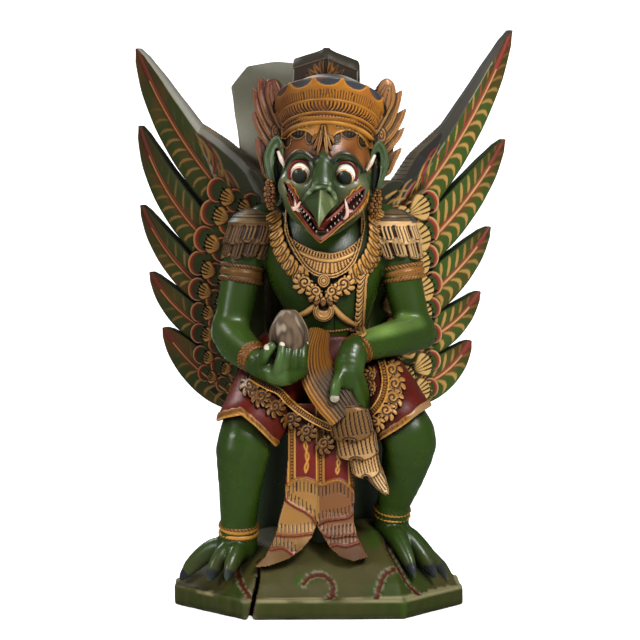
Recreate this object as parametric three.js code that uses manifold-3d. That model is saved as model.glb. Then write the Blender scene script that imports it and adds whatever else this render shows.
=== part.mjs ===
// A garuda figure of carved and painted wood, crouching on a rock plinth that is carved from the
// same block. Its two wings and its tail are separate boards that butt against the figure's back.
// Millimetres, +Z up, the figure faces -Y. The origin is the middle of the plinth's underside.
import * as THREE from "three";
import { mergeVertices } from "three/addons/utils/BufferGeometryUtils.js";
import Module from "manifold-3d";

const wasm = await Module();
wasm.setup();

// Driving dimensions
const FIGURE_HEIGHT = 750; // from the top of the plinth's slab to the crest of the hair
const PLINTH_WIDTH = 404;
const PLINTH_DEPTH = 306;
const PLINTH_THICKNESS = 26; // the upright edge below the rock
const PLINTH_LEDGE = 5; // how far the slab stands out from the rock
const CRACK_WIDTH = 4; // the drying crack in the plinth's front
const CRACK_DEPTH = 28;
const WING_HEIGHT = 545; // from the foot of a wing to the tip of its longest feather
const WING_ROOT_THICKNESS = 42;
const WING_TIP_THICKNESS = 11;
const WING_SWEEP = 31; // degrees that a wing leans back from the figure's back
const FEATHER_STEP = 2.5; // how far each feather stands in front of the one above it
const COVERT_RELIEF = 3; // how far the small feathers stand out
const TAIL_HEIGHT = 548;
const TAIL_TOP_WIDTH = 132;
const TAIL_FOOT_WIDTH = 74;
const TAIL_THICKNESS = 34;
const TAIL_LEAN = 4; // degrees backwards
const TAIL_ROLL = 5; // degrees towards the left side
const JOINT_GAP = 0.4; // the glue line between a loose board and its seat

// Free forms are placed in figure units, 750ths of the figure's height.
const unit = FIGURE_HEIGHT / 750;
const wingUnit = WING_HEIGHT / 545;
const radians = THREE.MathUtils.degToRad;
const LEFT = -1; // left and right sides are those of a person who faces the figure
const RIGHT = 1;

// A point in figure units, from the middle of the slab's top.
function at(x, y, z) {
  return new THREE.Vector3(x * unit, y * unit, PLINTH_THICKNESS + z * unit);
}

// Solids

function solidOf(geometry) {
  const bare = geometry.index ? geometry.toNonIndexed() : geometry.clone();
  for (const name of Object.keys(bare.attributes)) {
    if (name !== "position") bare.deleteAttribute(name);
  }
  const merged = mergeVertices(bare, 1e-4);
  const triVerts = new Uint32Array(merged.index.array);
  const vertProperties = merged.attributes.position.array;
  const made = new wasm.Manifold(new wasm.Mesh({ numProp: 3, vertProperties, triVerts }));
  if (made.volume() > 0) return made;
  for (let i = 0; i < triVerts.length; i += 3) {
    [triVerts[i + 1], triVerts[i + 2]] = [triVerts[i + 2], triVerts[i + 1]];
  }
  return new wasm.Manifold(new wasm.Mesh({ numProp: 3, vertProperties, triVerts }));
}

function union(solids) {
  return wasm.Manifold.union(solids.flat(Infinity));
}

// The solid without the pockets that its parts close off inside it.
function filled(solid) {
  return union(solid.decompose().filter((shell) => shell.volume() > 0));
}

function meshOf(name, solid, material) {
  const { numProp, vertProperties, triVerts, numVert } = solid.getMesh();
  const positions = new Float32Array(numVert * 3);
  for (let i = 0; i < numVert; i++) {
    positions.set(vertProperties.subarray(i * numProp, i * numProp + 3), i * 3);
  }
  const geometry = new THREE.BufferGeometry();
  geometry.setAttribute("position", new THREE.BufferAttribute(positions, 3));
  geometry.setIndex(new THREE.BufferAttribute(triVerts, 1));
  geometry.computeVertexNormals();
  const mesh = new THREE.Mesh(geometry, material);
  mesh.name = name;
  return mesh;
}

// A closed skin over rings of points, with a fan at each end.
function skin(rings) {
  const sides = rings[0].length;
  const points = rings.flat();
  const faces = [];
  for (let i = 0; i + 1 < rings.length; i++) {
    for (let j = 0; j < sides; j++) {
      const a = i * sides + j;
      const b = i * sides + ((j + 1) % sides);
      faces.push(a, b, b + sides, a, b + sides, a + sides);
    }
  }
  for (const [ring, first, turn] of [[rings[0], 0, 1], [rings.at(-1), points.length - sides, 0]]) {
    const middle = new THREE.Vector3();
    ring.forEach((p) => middle.addScaledVector(p, 1 / sides));
    const hub = points.push(middle) - 1;
    for (let j = 0; j < sides; j++) {
      const pair = [first + j, first + ((j + 1) % sides)];
      if (turn) pair.reverse();
      faces.push(hub, ...pair);
    }
  }
  const geometry = new THREE.BufferGeometry().setFromPoints(points);
  geometry.setIndex(faces);
  return solidOf(geometry);
}

// The value at share t of a list of numbers or number pairs, which are spread evenly from 0 to 1.
function sample(list, t) {
  const x = Math.min(t, 1) * (list.length - 1);
  const i = Math.min(Math.floor(x), list.length - 2);
  const ease = THREE.MathUtils.smoothstep(x - i, 0, 1) * 0.5 + (x - i) * 0.5;
  const pair = (v) => (Array.isArray(v) ? v : [v, v]);
  const [a, b] = [pair(list[i]), pair(list[i + 1])];
  return [0, 1].map((k) => THREE.MathUtils.lerp(a[k], b[k], ease));
}

// A limb of changing thickness along a smooth line. A radius is one number or [across, thin], in
// figure units, and thin is the direction in which the section is flat. With four sides the
// section is a rectangle of these half sizes.
function limb(points, radii, { sides = 8, steps = 5, thin = [0, 1, 0], scale = unit } = {}) {
  const curve = new THREE.CatmullRomCurve3(points, false, "centripetal");
  const flat = new THREE.Vector3(...thin);
  const reach = sides === 4 ? scale * Math.SQRT2 : scale;
  const rings = [];
  for (let i = 0; i <= steps; i++) {
    const t = i / steps;
    const centre = curve.getPoint(t);
    const along = curve.getTangent(t);
    const across = new THREE.Vector3().crossVectors(flat, along).normalize();
    const through = new THREE.Vector3().crossVectors(along, across).normalize();
    const [wide, deep] = sample(radii, t);
    rings.push(Array.from({ length: sides }, (_, j) => {
      const angle = ((j + 0.5) / sides) * 2 * Math.PI;
      return centre.clone()
        .addScaledVector(across, Math.cos(angle) * wide * reach)
        .addScaledVector(through, Math.sin(angle) * deep * reach);
    }));
  }
  return skin(rings);
}

// A plate with a straight-sided outline in X and Z, its thickness centred on Y, in millimetres.
function plate(outline, thickness, matrix) {
  const shape = new THREE.Shape(outline.map(([x, z]) => new THREE.Vector2(x, z)));
  const geometry = new THREE.ExtrudeGeometry(shape, { depth: thickness, bevelEnabled: false });
  geometry.rotateX(Math.PI / 2);
  geometry.translate(0, thickness / 2, 0);
  geometry.applyMatrix4(matrix);
  return solidOf(geometry);
}

// An ellipsoid in figure units.
function ball([x, y, z], [rx, ry, rz], across = 10, up = 7) {
  const geometry = new THREE.SphereGeometry(1, across, up);
  geometry.rotateX(Math.PI / 2);
  geometry.scale(rx * unit, ry * unit, rz * unit);
  geometry.translate(...at(x, y, z).toArray());
  return solidOf(geometry);
}

// A bangle round a limb, centred at a point and square to a direction.
function bangle(centre, direction, radius, width) {
  const bulge = 5;
  const profile = [[radius - 9, -width / 2], [radius + bulge, -width / 3], [radius + bulge, width / 3],
    [radius - 9, width / 2]];
  const points = [...profile, profile[0]].map(([r, h]) => new THREE.Vector2(r * unit, h * unit));
  const geometry = new THREE.LatheGeometry(points, 7);
  const turn = new THREE.Quaternion().setFromUnitVectors(
    new THREE.Vector3(0, 1, 0), new THREE.Vector3(...direction).normalize());
  geometry.applyQuaternion(turn);
  geometry.translate(...centre.toArray());
  return solidOf(geometry);
}

// Plinth

const slabCorners = [[-1, 0.3], [-1, -0.16], [-0.52, -1], [0.56, -1], [1, -0.26], [1, 0.34], [0.52, 1], [-0.5, 1]];

function slabOutline(share, inset = 0) {
  const [w, d] = [PLINTH_WIDTH / 2 - inset, PLINTH_DEPTH / 2 - inset];
  return slabCorners.map(([x, y]) => [x * w * share, y * d * share]);
}

function slab() {
  const outline = new THREE.Shape(slabOutline(1).map(([x, y]) => new THREE.Vector2(x, y)));
  return solidOf(new THREE.ExtrudeGeometry(outline, { depth: PLINTH_THICKNESS, bevelEnabled: false }));
}

// The rock rises in facets from the slab's outline to a rounded top on the right of the middle.
function rock() {
  const levels = [[-2, 1, 0], [20, 0.93, 2], [44, 0.79, 8], [66, 0.62, 15], [83, 0.45, 24], [94, 0.24, 32]];
  return skin(levels.map(([z, share, drift]) =>
    slabOutline(share, PLINTH_LEDGE).map(([x, y]) => at(x / unit + drift, y / unit, z))));
}

function crack() {
  const geometry = new THREE.BoxGeometry(CRACK_WIDTH, CRACK_DEPTH * 2, 130 * unit);
  geometry.rotateY(radians(11));
  geometry.translate(-88 * unit, -PLINTH_DEPTH / 2, PLINTH_THICKNESS + 6 * unit);
  return solidOf(geometry);
}

function plinth() {
  return union([slab(), rock()]).subtract(crack());
}

// Legs and feet

const legs = {
  [LEFT]: {
    shin: [[-99, -84, 232], [-104, -92, 205], [-109, -84, 148], [-111, -70, 101], [-112, -60, 60]],
    girth: [35, 37, 29, 25, 27],
    anklet: [-111, -65, 84],
    toes: [
      [[-114, -62, 62], [-148, -58, 56], [-177, -50, 32], [-193, -36, 11]],
      [[-112, -66, 60], [-131, -82, 54], [-145, -92, 34], [-152, -94, 19]],
      [[-106, -68, 60], [-115, -92, 54], [-123, -108, 38], [-128, -116, 23]],
      [[-114, -56, 56], [-128, -26, 50], [-138, -4, 34], [-143, 6, 20]],
    ],
  },
  [RIGHT]: {
    shin: [[108, -82, 237], [121, -92, 214], [114, -78, 166], [103, -58, 122], [99, -42, 82]],
    girth: [38, 37, 30, 23, 25],
    anklet: [100, -50, 106],
    toes: [
      [[100, -42, 84], [129, -44, 66], [157, -48, 37], [179, -52, 11]],
      [[95, -50, 83], [121, -68, 70], [145, -84, 42], [160, -92, 20]],
      [[93, -50, 82], [107, -80, 71], [120, -104, 47], [128, -118, 25]],
      [[100, -36, 82], [120, -8, 64], [138, 12, 40], [148, 22, 22]],
    ],
  },
};

function leg(side) {
  const { shin, girth, anklet, toes } = legs[side];
  const down = new THREE.Vector3(...shin.at(-1)).sub(new THREE.Vector3(...shin.at(-2)));
  return [
    limb(shin.map((p) => at(...p)), girth, { sides: 8, steps: 3 }),
    bangle(at(...anklet), down.toArray(), side === LEFT ? 25 : 23, 24),
    toes.map((toe) => limb(toe.map((p) => at(...p)), [[18, 18], [14, 18], [11, 14], [2.5, 4]],
      { sides: 5, steps: 3, thin: [0, 0, 1] })),
  ];
}

// The stump that the figure crouches against, behind the hanging cloth.
function stump() {
  return limb([at(2, 26, 30), at(0, 26, 150), at(0, 22, 262)], [[98, 60], [96, 60], [98, 60]],
    { sides: 8, steps: 2 });
}

// Thighs in their short skirt, with a raised hem above the knee.
const thighs = {
  [LEFT]: [[-34, 20, 298], [-67, -42, 271], [-93, -94, 235]],
  [RIGHT]: [[41, 20, 298], [80, -40, 273], [109, -92, 241]],
};

function thigh(side) {
  const line = thighs[side].map((p) => at(...p));
  const end = line.at(-1).clone().sub(line.at(-2)).normalize();
  const hem = line.at(-1).clone().addScaledVector(end, 3 * unit);
  return [
    limb(line, [70, 53, [45, 42]], { sides: 9, steps: 3, thin: [0, 0, 1] }),
    limb([hem.clone().addScaledVector(end, -13 * unit), hem], [[48, 46], [47.5, 44]],
      { sides: 9, steps: 1, thin: [0, 0, 1] }),
  ];
}

// Torso: height, middle x, middle y, half width and half depth, in figure units.
const torsoRings = [
  [228, 5, 26, 84, 56], [268, 6, 20, 96, 68], [300, 8, 16, 88, 66], [330, 14, 10, 62, 52],
  [350, 19, 6, 50, 44], [384, 15, 6, 62, 50], [424, 10, 6, 78, 58], [462, 8, 4, 86, 58],
  [492, 8, 4, 82, 50], [514, 8, 0, 62, 44], [532, 9, -6, 46, 42], [560, 9, -14, 40, 38],
];

function torso() {
  return limb(torsoRings.map(([z, x, y]) => at(x, y, z)), torsoRings.map((r) => [r[3], r[4]]),
    { sides: 10, steps: 8 });
}

// The torso's front surface, raised by lift, as a point for what is carved on it.
function onChest(x, z, lift = 0) {
  const i = Math.max(1, torsoRings.findIndex((r) => r[0] >= z));
  const [low, high] = [torsoRings[i - 1], torsoRings[i]];
  const mix = (z - low[0]) / (high[0] - low[0]);
  const [, cx, cy, rx, ry] = low.map((v, k) => THREE.MathUtils.lerp(v, high[k], mix));
  const share = THREE.MathUtils.clamp((x - cx) / rx, -0.98, 0.98);
  return at(x, cy - ry * Math.sqrt(1 - share * share) - lift, z);
}

// Arms and hands

const arms = {
  [LEFT]: {
    upper: [[-74, 8, 503], [-98, 8, 470], [-109, 4, 420], [-122, -4, 352]],
    lower: [[-124, 0, 358], [-112, -34, 338], [-85, -82, 318]],
    armlet: [-106, 6, 434],
    bracelet: [-90, -76, 322],
    bangleAxis: [0.5, -0.8, -0.35],
  },
  [RIGHT]: {
    upper: [[90, 8, 503], [112, 8, 469], [120, 4, 419], [136, -2, 352]],
    lower: [[140, 2, 353], [101, -48, 346], [53, -90, 337]],
    armlet: [119, 6, 436],
    bracelet: [49, -94, 334],
    bangleAxis: [-0.72, -0.55, -0.42],
  },
};

function arm(side) {
  const { upper, lower, armlet, bracelet, bangleAxis } = arms[side];
  return [
    limb(upper.map((p) => at(...p)), [31, 30, 28, 26], { sides: 7, steps: 3 }),
    limb(lower.map((p) => at(...p)), [27, 24, 19], { sides: 7, steps: 2, thin: [0, 0, 1] }),
    ball(upper.at(-1), [25, 25, 22], 6, 4),
    bangle(at(...armlet), [side * 0.16, -0.05, -1], 26, 26),
    bangle(at(...bracelet), bangleAxis, 20, 20),
  ];
}

// A finger from knuckle to tip. The tips are broken short, so they end blunt.
function finger(points, girth = 6.5, tip = 5) {
  return limb(points.map((p) => at(...p)), [girth, girth, tip], { sides: 4, steps: 2, thin: [0, 0.3, 1] });
}

// The hand on the left side cups the jar from below and in front.
function cuppingHand() {
  return [
    limb([at(-92, -76, 319), at(-77, -96, 309), at(-48, -112, 302), at(-29, -108, 308)],
      [16, [19, 17], [18, 16], 12], { sides: 7, steps: 3 }),
    [0, 1, 2, 3].map((i) => finger([
      [-59 + i * 11, -118 + i * 1.5, 300 + i * 3],
      [-56 + i * 11, -131 + i * 3, 321 + i * 2],
      [-52 + i * 10, -127 + i * 4, 342],
    ], 6.5 - i * 0.3)),
    finger([[-81, -102, 315], [-77, -118, 328], [-68, -126, 341]], 8, 6.5),
  ];
}

// The hand on the right side hangs from its wrist and holds the sash between thumb and fingers.
function hangingHand() {
  return [
    limb([at(55, -90, 337), at(42, -106, 329), at(38, -116, 304), at(38, -118, 291)],
      [17, [19, 17], [21, 13], [18, 11]], { sides: 7, steps: 3 }),
    finger([[31, -120, 301], [23, -128, 282], [20, -130, 265]], 7.5, 6),
    [0, 1, 2].map((i) => finger([
      [46 + i * 4, -118 + i * 5, 296], [52 + i * 4, -120 + i * 6, 275], [58 + i * 4, -118 + i * 6, 254 - i * 3],
    ], 7, 4)),
  ];
}

// The jar of nectar on the left side, with a worn flat mouth.
function jar() {
  const profile = [[0, -36], [17, -32], [27, -12], [26, 6], [19, 22], [10, 32], [0, 32]];
  const geometry = new THREE.LatheGeometry(
    profile.map(([r, h]) => new THREE.Vector2(r * unit, h * unit)), 9);
  geometry.rotateX(Math.PI / 2);
  geometry.translate(...at(-43, -104, 356).toArray());
  return solidOf(geometry);
}

// Dress

// The crescent collar that lies on the chest, with a fringe of round leaves, and its pendant.
const COLLAR_LEAVES = 11;

function collar() {
  const arc = (share, reach, lift) => {
    const angle = radians(-90 + share * 84);
    const x = 14 + Math.cos(angle) * (58 + reach);
    return onChest(THREE.MathUtils.clamp(x, -74, 92), 508 + Math.sin(angle) * (54 + reach * 0.8), lift);
  };
  const count = 2 * COLLAR_LEAVES;
  const rings = Array.from({ length: count + 1 }, (_, i) => {
    const share = (2 * i) / count - 1;
    const reach = i % 2 ? 46 : 34;
    return [arc(share, 0, -7), arc(share, 0, 8), arc(share, reach, 10), arc(share, reach, -5)];
  });
  const pendant = [[14, 408, 22], [13, 378, 14]].map(([x, z, r]) => {
    const middle = onChest(x, z, 2);
    return ball([middle.x / unit, middle.y / unit, z], [r, 9, r], 7, 4);
  });
  return [skin(rings), pendant];
}

// Gold cords from the pendant to the flanks.
function cords() {
  const route = (pairs) => limb(pairs.map(([x, z]) => onChest(x, z, 1)), [4.5, 4.5], { sides: 4, steps: 3 });
  return [
    route([[10, 372], [-8, 366], [-30, 352]]),
    route([[20, 372], [38, 362], [62, 350]]),
    limb([[78, 478], [74, 440], [66, 400], [60, 352]].map(([x, z]) => onChest(x, z, 4)),
      [[9, 6], [8, 5]], { sides: 4, steps: 3 }),
  ];
}

// A shoulder piece: a flat cap over a fringe of tassels, with its open end in the arm.
const TASSELS = 6;

function shoulderPiece(side) {
  const [x, y, z] = side === LEFT ? [-86, 4, 500] : [100, 4, 500];
  const levels = [[26, 22, 0], [38, 14, 0], [41, -6, 0], [42, -26, 12], [24, -34, 0]];
  return skin(levels.map(([radius, rise, drop]) => Array.from({ length: 2 * TASSELS }, (_, i) => {
    const angle = (i / TASSELS) * Math.PI;
    return at(x + Math.cos(angle) * radius, y + Math.sin(angle) * radius, z + rise - (i % 2) * drop);
  })));
}

// The jewelled belt that hangs over the thighs, with rosettes below it.
const belts = {
  [LEFT]: [[-100, -38, 303], [-85, -74, 292], [-60, -92, 274], [-30, -90, 256], [5, -92, 234]],
  [RIGHT]: [[91, -24, 323], [92, -66, 304], [88, -92, 283], [76, -100, 264], [47, -98, 243], [5, -92, 234]],
};
const rosettes = {
  [LEFT]: [[-83, -92, 276], [-60, -104, 259], [-36, -98, 241], [-15, -100, 225], [6, -102, 208]],
  [RIGHT]: [[99, -86, 292], [97, -106, 272], [85, -116, 250], [70, -112, 232]],
};

function belt(side) {
  return [
    limb(belts[side].map((p) => at(...p)), [[8, 7], [8, 7]], { sides: 4, steps: 6 }),
    rosettes[side].map((p) => ball(p, [14, 9, 13], 6, 3)),
  ];
}

function waistband() {
  return limb([at(19, 6, 338), at(20, 6, 352)], [[54, 49], [53, 48]], { sides: 10, steps: 1 });
}

// The striped sash falls from the waist, is caught by the hanging hand and ends in folded tiers.
function sash() {
  const fall = [[-4, -46, 351], [-10, -78, 317], [-4, -104, 284], [19, -112, 261], [46, -118, 242]];
  const tiers = [
    [[46, -120, 254], [54, -123, 224], 29], [[56, -122, 227], [64, -126, 199], 27],
    [[65, -124, 202], [75, -128, 172], 21], [[73, -126, 177], [85, -128, 146], 13],
  ];
  return [
    limb(fall.map((p) => at(...p)), [[16, 8], [21, 10], [23, 12], [26, 13], [29, 12]],
      { sides: 6, steps: 4 }),
    tiers.map(([top, foot, width], i) => limb([at(...top), at(...foot)],
      [[width * 0.9, 12], [width, 13 - i], [width * 0.6, 8 - i]], { sides: 4, steps: 2 })),
  ];
}

// The hanging loincloth: two panels that part into swallow tails on the rock.
function loincloth() {
  const panels = [
    { line: [[-17, -92, 252], [-19, -98, 190], [-22, -104, 134], [-30, -110, 100], [-47, -122, 71], [-78, -134, 43]],
      width: [25, 25, 24, 24, 22, 5] },
    { line: [[31, -90, 252], [32, -96, 190], [30, -103, 134], [26, -110, 100], [35, -120, 74], [54, -128, 55]],
      width: [26, 26, 26, 24, 23, 10] },
  ];
  return panels.map(({ line, width }) =>
    limb(line.map((p) => at(...p)), width.map((w) => [w, 6]), { sides: 4, steps: 5 }));
}

// Head, in its own frame with the origin between the ears

const headFrame = new THREE.Matrix4()
  .makeTranslation(...at(10, -50, 563).toArray())
  .multiply(new THREE.Matrix4().makeRotationFromEuler(
    new THREE.Euler(radians(-3), radians(2.5), radians(-5))));

// A point of the head, in figure units from the head's middle.
function face(x, y, z) {
  return new THREE.Vector3(x, y, z).multiplyScalar(unit).applyMatrix4(headFrame);
}

function headBall([x, y, z], [rx, ry, rz], across = 10, up = 7) {
  const geometry = new THREE.SphereGeometry(1, across, up);
  geometry.rotateX(Math.PI / 2);
  geometry.scale(rx * unit, ry * unit, rz * unit);
  geometry.translate(x * unit, y * unit, z * unit);
  geometry.applyMatrix4(headFrame);
  return solidOf(geometry);
}

const faceLimb = (points, radii, options) => limb(points.map((p) => face(...p)), radii, options);

// The beak: an upper bill over an open lower jaw, with its palate, lips and two tusks.
function beak() {
  const upper = faceLimb([[0, -40, 34], [0, -60, 12], [0, -80, -10], [0, -94, -34], [0, -96, -56]],
    [[12, 14], [15, 16], [24, 18], [17, 13], [2, 3]], { sides: 8, steps: 4, thin: [0, 1, 0.6] });
  const chin = faceLimb([[0, -20, -50], [0, -52, -66], [0, -84, -80]], [[42, 18], [28, 10], [5, 4]],
    { sides: 6, steps: 2, thin: [0, 0, 1] });
  const palate = faceLimb([[0, -20, -14], [0, -48, -34], [0, -78, -68]], [[50, 24], [36, 20], [8, 8]],
    { sides: 6, steps: 2, thin: [0, 0, 1] });
  const lips = [LEFT, RIGHT].map((side) => [
    faceLimb([[side * 56, -36, 0], [side * 42, -60, -32], [side * 19, -78, -62], [side * 2, -88, -82]],
      [[5, 12], [5.5, 12], [5, 10], [4, 6]], { sides: 4, steps: 3 }),
    faceLimb([[side * 54, -40, 6], [side * 40, -64, -14], [side * 26, -78, -34], [side * 10, -90, -46]],
      [[4, 12], [5, 14], [5, 12], [3, 8]], { sides: 4, steps: 3 }),
    faceLimb([[side * 36, -58, -40], [side * 42, -68, -28], [side * 39, -71, -12]], [[5, 8], [4, 8], [1.2, 5]],
      { sides: 4, steps: 2 }),
  ]);
  return [upper, chin, palate, lips];
}

function eye(side) {
  return [
    headBall([side * 32, -50, 12], [17, 15, 17], 8, 5),
    faceLimb([[side * 8, -56, 22], [side * 18, -60, 37], [side * 34, -60, 42], [side * 52, -48, 34],
      [side * 57, -38, 18]], [3.5, 4, 2.5], { sides: 4, steps: 4 }),
  ];
}

function ear(side) {
  const lean = side === LEFT ? -74 : 74;
  return [
    faceLimb([[lean * 0.84, 2, -22], [lean * 0.96, 0, 6], [lean * 0.97, 4, 36], [lean * 0.92, 10, 62]],
      [[8, 10], [16, 10], [16, 10], [2, 4]], { sides: 6, steps: 3, thin: [side, -0.6, 0] }),
    headBall([lean * 0.86, -4, -34], [10, 10, 17], 6, 4),
  ];
}

// The wing-shaped ear pieces of the crown: a toothed fan of feathers behind a rounded lobe.
const fanTips = [[95, 139], [106, 120], [107, 93], [102, 65], [92, 36]];

function earWing(side) {
  const teeth = fanTips.flatMap(([x, z], i) => {
    const next = fanTips[i + 1] ?? [x - 14, z - 26];
    return [[x, z], [(x + next[0]) / 2 - 9, (z + next[1]) / 2 - 2]];
  });
  const outline = [[46, 30], [46, 118], [74, 148], [88, 144], ...teeth, [46, 20]];
  const turn = headFrame.clone()
    .multiply(new THREE.Matrix4().makeTranslation(side * 60 * unit, 12 * unit, 0))
    .multiply(new THREE.Matrix4().makeRotationZ(side * radians(12)));
  const fan = plate(outline.map(([x, z]) => [side * (x - 60) * unit, z * unit]), 15 * unit, turn);
  const lobe = faceLimb([[side * 60, -8, 40], [side * 71, -6, 92], [side * 76, 0, 132], [side * 73, 6, 146]],
    [[13, 15], [17, 18], [14, 16], [5, 8]], { sides: 6, steps: 3 });
  return [fan, lobe];
}

// The flared diadem rises towards the brow, so its rings are sheared upwards in front.
const DIADEM_LIFT = 0.3;
const CROWN_LEAVES = 8; // round leaves along the lower edge
// Radius and height of each edge, and how far it is scalloped.
const crownTiers = [[50, 58, 0], [63, 64, 9], [60, 74, 0], [68, 82, 0], [64, 90, 0], [77, 116, 0], [78, 126, 0]];

function diadem() {
  return skin(crownTiers.map(([radius, height, scallop]) => Array.from({ length: 2 * CROWN_LEAVES }, (_, j) => {
    const angle = (j / CROWN_LEAVES) * Math.PI;
    const [x, y] = [Math.cos(angle) * radius, Math.sin(angle) * radius];
    return face(x, y + 6, height - (j % 2 ? scallop : 0) + Math.max(0, -y) * DIADEM_LIFT);
  })));
}

// The head from the chin to the dome above the diadem: height, middle, half width, half depth.
const headRings = [
  [-64, -14, 30, 26], [-40, -12, 54, 44], [-8, -8, 63, 52], [30, 0, 62, 58], [66, 4, 58, 56], [104, 6, 66, 64],
  [126, 6, 73, 71], [144, 6, 58, 57], [154, 6, 26, 26],
];

function skull() {
  return faceLimb(headRings.map(([z, y]) => [0, y, z]), headRings.map((r) => [r[2], r[3]]),
    { sides: 10, steps: headRings.length - 1 });
}

// The knot of hair that rises behind the crown, with a ridge down its middle.
const CREST_HALF_WIDTH = 46;
const CREST_MIDDLE = -8;

function crest() {
  const outline = [[8, 90], [8, 172], [16, 188], [40, 188], [74, 170], [86, 120], [72, 60], [44, 40]];
  const section = (x, drop) => outline.map(([y, z]) => face(CREST_MIDDLE + x, y, z > 150 ? z - drop : z));
  return skin([section(-CREST_HALF_WIDTH, 17), section(-6, 3), section(0, 0), section(6, 3),
    section(CREST_HALF_WIDTH, 17)]);
}

// Seats on the figure's back that the loose boards butt against

// The frame of a wing: its origin at the root, X outwards, Y through its thickness to the back.
function wingFrame(side) {
  return new THREE.Matrix4()
    .makeTranslation(side * 62 * unit, 52 * unit, PLINTH_THICKNESS)
    .multiply(new THREE.Matrix4().makeRotationZ(side * radians(WING_SWEEP)));
}

const WING_FOOT = 248; // figure units above the slab
const WING_SEAT = { low: 300, high: 500 };

function wingSeat(side) {
  const height = (WING_SEAT.high - WING_SEAT.low) * unit;
  const geometry = new THREE.BoxGeometry(70 * unit, WING_ROOT_THICKNESS + 10 * unit, height);
  geometry.translate(-side * 35 * unit, 0, (WING_SEAT.low + WING_SEAT.high) / 2 * unit);
  geometry.applyMatrix4(wingFrame(side));
  return solidOf(geometry);
}

// The room for a wing's board, cleared from the body beside its seat.
const WING_CLEARANCE = 7; // in front of the board, for its coverts

function wingRoom(side) {
  const depth = 200 * unit;
  const front = -WING_ROOT_THICKNESS / 2 - WING_CLEARANCE * unit;
  const geometry = new THREE.BoxGeometry(200 * unit, depth, 600 * unit);
  geometry.translate(side * 100 * unit, front + depth / 2, (WING_FOOT + 290) * unit);
  geometry.applyMatrix4(wingFrame(side));
  return solidOf(geometry);
}

// The frame of the tail: its origin in the middle of the foot, Z up the board.
const TAIL_FOOT = { x: -10, y: 98, z: 190 }; // figure units

function tailFrame() {
  return new THREE.Matrix4()
    .makeTranslation(...at(TAIL_FOOT.x, TAIL_FOOT.y, TAIL_FOOT.z).toArray())
    .multiply(new THREE.Matrix4().makeRotationFromEuler(
      new THREE.Euler(-radians(TAIL_LEAN), -radians(TAIL_ROLL), 0)));
}

function tailSeat() {
  const [width, depth, height] = [TAIL_FOOT_WIDTH + 14 * unit, TAIL_THICKNESS + 70 * unit, 60 * unit];
  const geometry = new THREE.BoxGeometry(width, depth, height);
  geometry.translate(0, (TAIL_THICKNESS - depth) / 2, -height / 2);
  geometry.applyMatrix4(tailFrame());
  return solidOf(geometry);
}

// Wings

// Each wing's feathers from the top: root and tip, each as the distance out from the seat and
// the height above the slab, then the half width and how far the spine bows outwards, as a share
// of its length. All in wing units, which are 545ths of the wing's height.
const feathers = {
  [LEFT]: [
    [[52, 526], [222, 757], 34, 0.055], [[62, 451], [216, 645], 29, 0.09], [[68, 389], [212, 530], 25, 0.085],
    [[60, 339], [195, 433], 26, 0.1], [[54, 262], [171, 353], 30, 0.065],
  ],
  [RIGHT]: [
    [[54, 502], [260, 786], 30, 0.05], [[65, 446], [246, 626], 31, 0.055], [[61, 376], [218, 498], 31, 0.065],
    [[56, 329], [198, 404], 28, 0.11], [[58, 268], [180, 333], 30, 0.12],
  ],
};
const featherWidths = [0.85, 1, 0.98, 0.86, 0.62, 0.17];

// A point of a wing, by its distance out from the seat, its height and its lift to the front.
function onWing(side, out, z, lift = 0) {
  return new THREE.Vector3(side * out * wingUnit, -lift * wingUnit, (WING_FOOT + (z - WING_FOOT) * wingUnit) * unit)
    .applyMatrix4(wingFrame(side));
}

function wingNormal(side) {
  return [-side * Math.sin(radians(WING_SWEEP)), Math.cos(radians(WING_SWEEP)), 0];
}

// A feather keeps its face in one plane and thins from the back towards the tip.
function feather(side, [root, tip, width, bow], row) {
  const [dx, dz] = [tip[0] - root[0], tip[1] - root[1]];
  const front = (WING_ROOT_THICKNESS / 2 - FEATHER_STEP * (4 - row)) / wingUnit;
  const half = (t) => THREE.MathUtils.lerp(WING_ROOT_THICKNESS * 0.36, WING_TIP_THICKNESS / 2, t) / wingUnit;
  const spine = featherWidths.map((_, i) => {
    const t = i / (featherWidths.length - 1);
    const out = bow * 4 * t * (1 - t);
    return onWing(side, root[0] + dx * t + dz * out, root[1] + dz * t - dx * out, front - half(t));
  });
  const radii = featherWidths.map((share, i) => [width * share, half(i / (featherWidths.length - 1))]);
  return limb(spine, radii, { sides: 4, steps: 7, thin: wingNormal(side), scale: wingUnit });
}

// The arm of the wing: a thick board from the seat out and up to the longest feather.
const boardLines = {
  [LEFT]: [[[22, 258], [28, 370], [34, 470], [36, 548]], [[4, 500], [54, 570], [100, 616], [144, 664]]],
  [RIGHT]: [[[22, 262], [28, 370], [34, 470], [48, 530]], [[6, 500], [66, 552], [102, 594], [152, 650]]],
};

function wingBoard(side) {
  const half = WING_ROOT_THICKNESS / 2 / wingUnit;
  const widths = [[24, 42, 48, 36], [24, 32, 22, 6]];
  return boardLines[side].map((line, k) => limb(
    line.map(([out, z], i) => onWing(side, out, z, k ? -half * 0.1 * i : 0)),
    line.map((_, i) => [widths[k][i], half * (1 - 0.1 * i * k)]),
    { sides: 4, steps: 4, thin: wingNormal(side), scale: wingUnit }));
}

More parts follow.
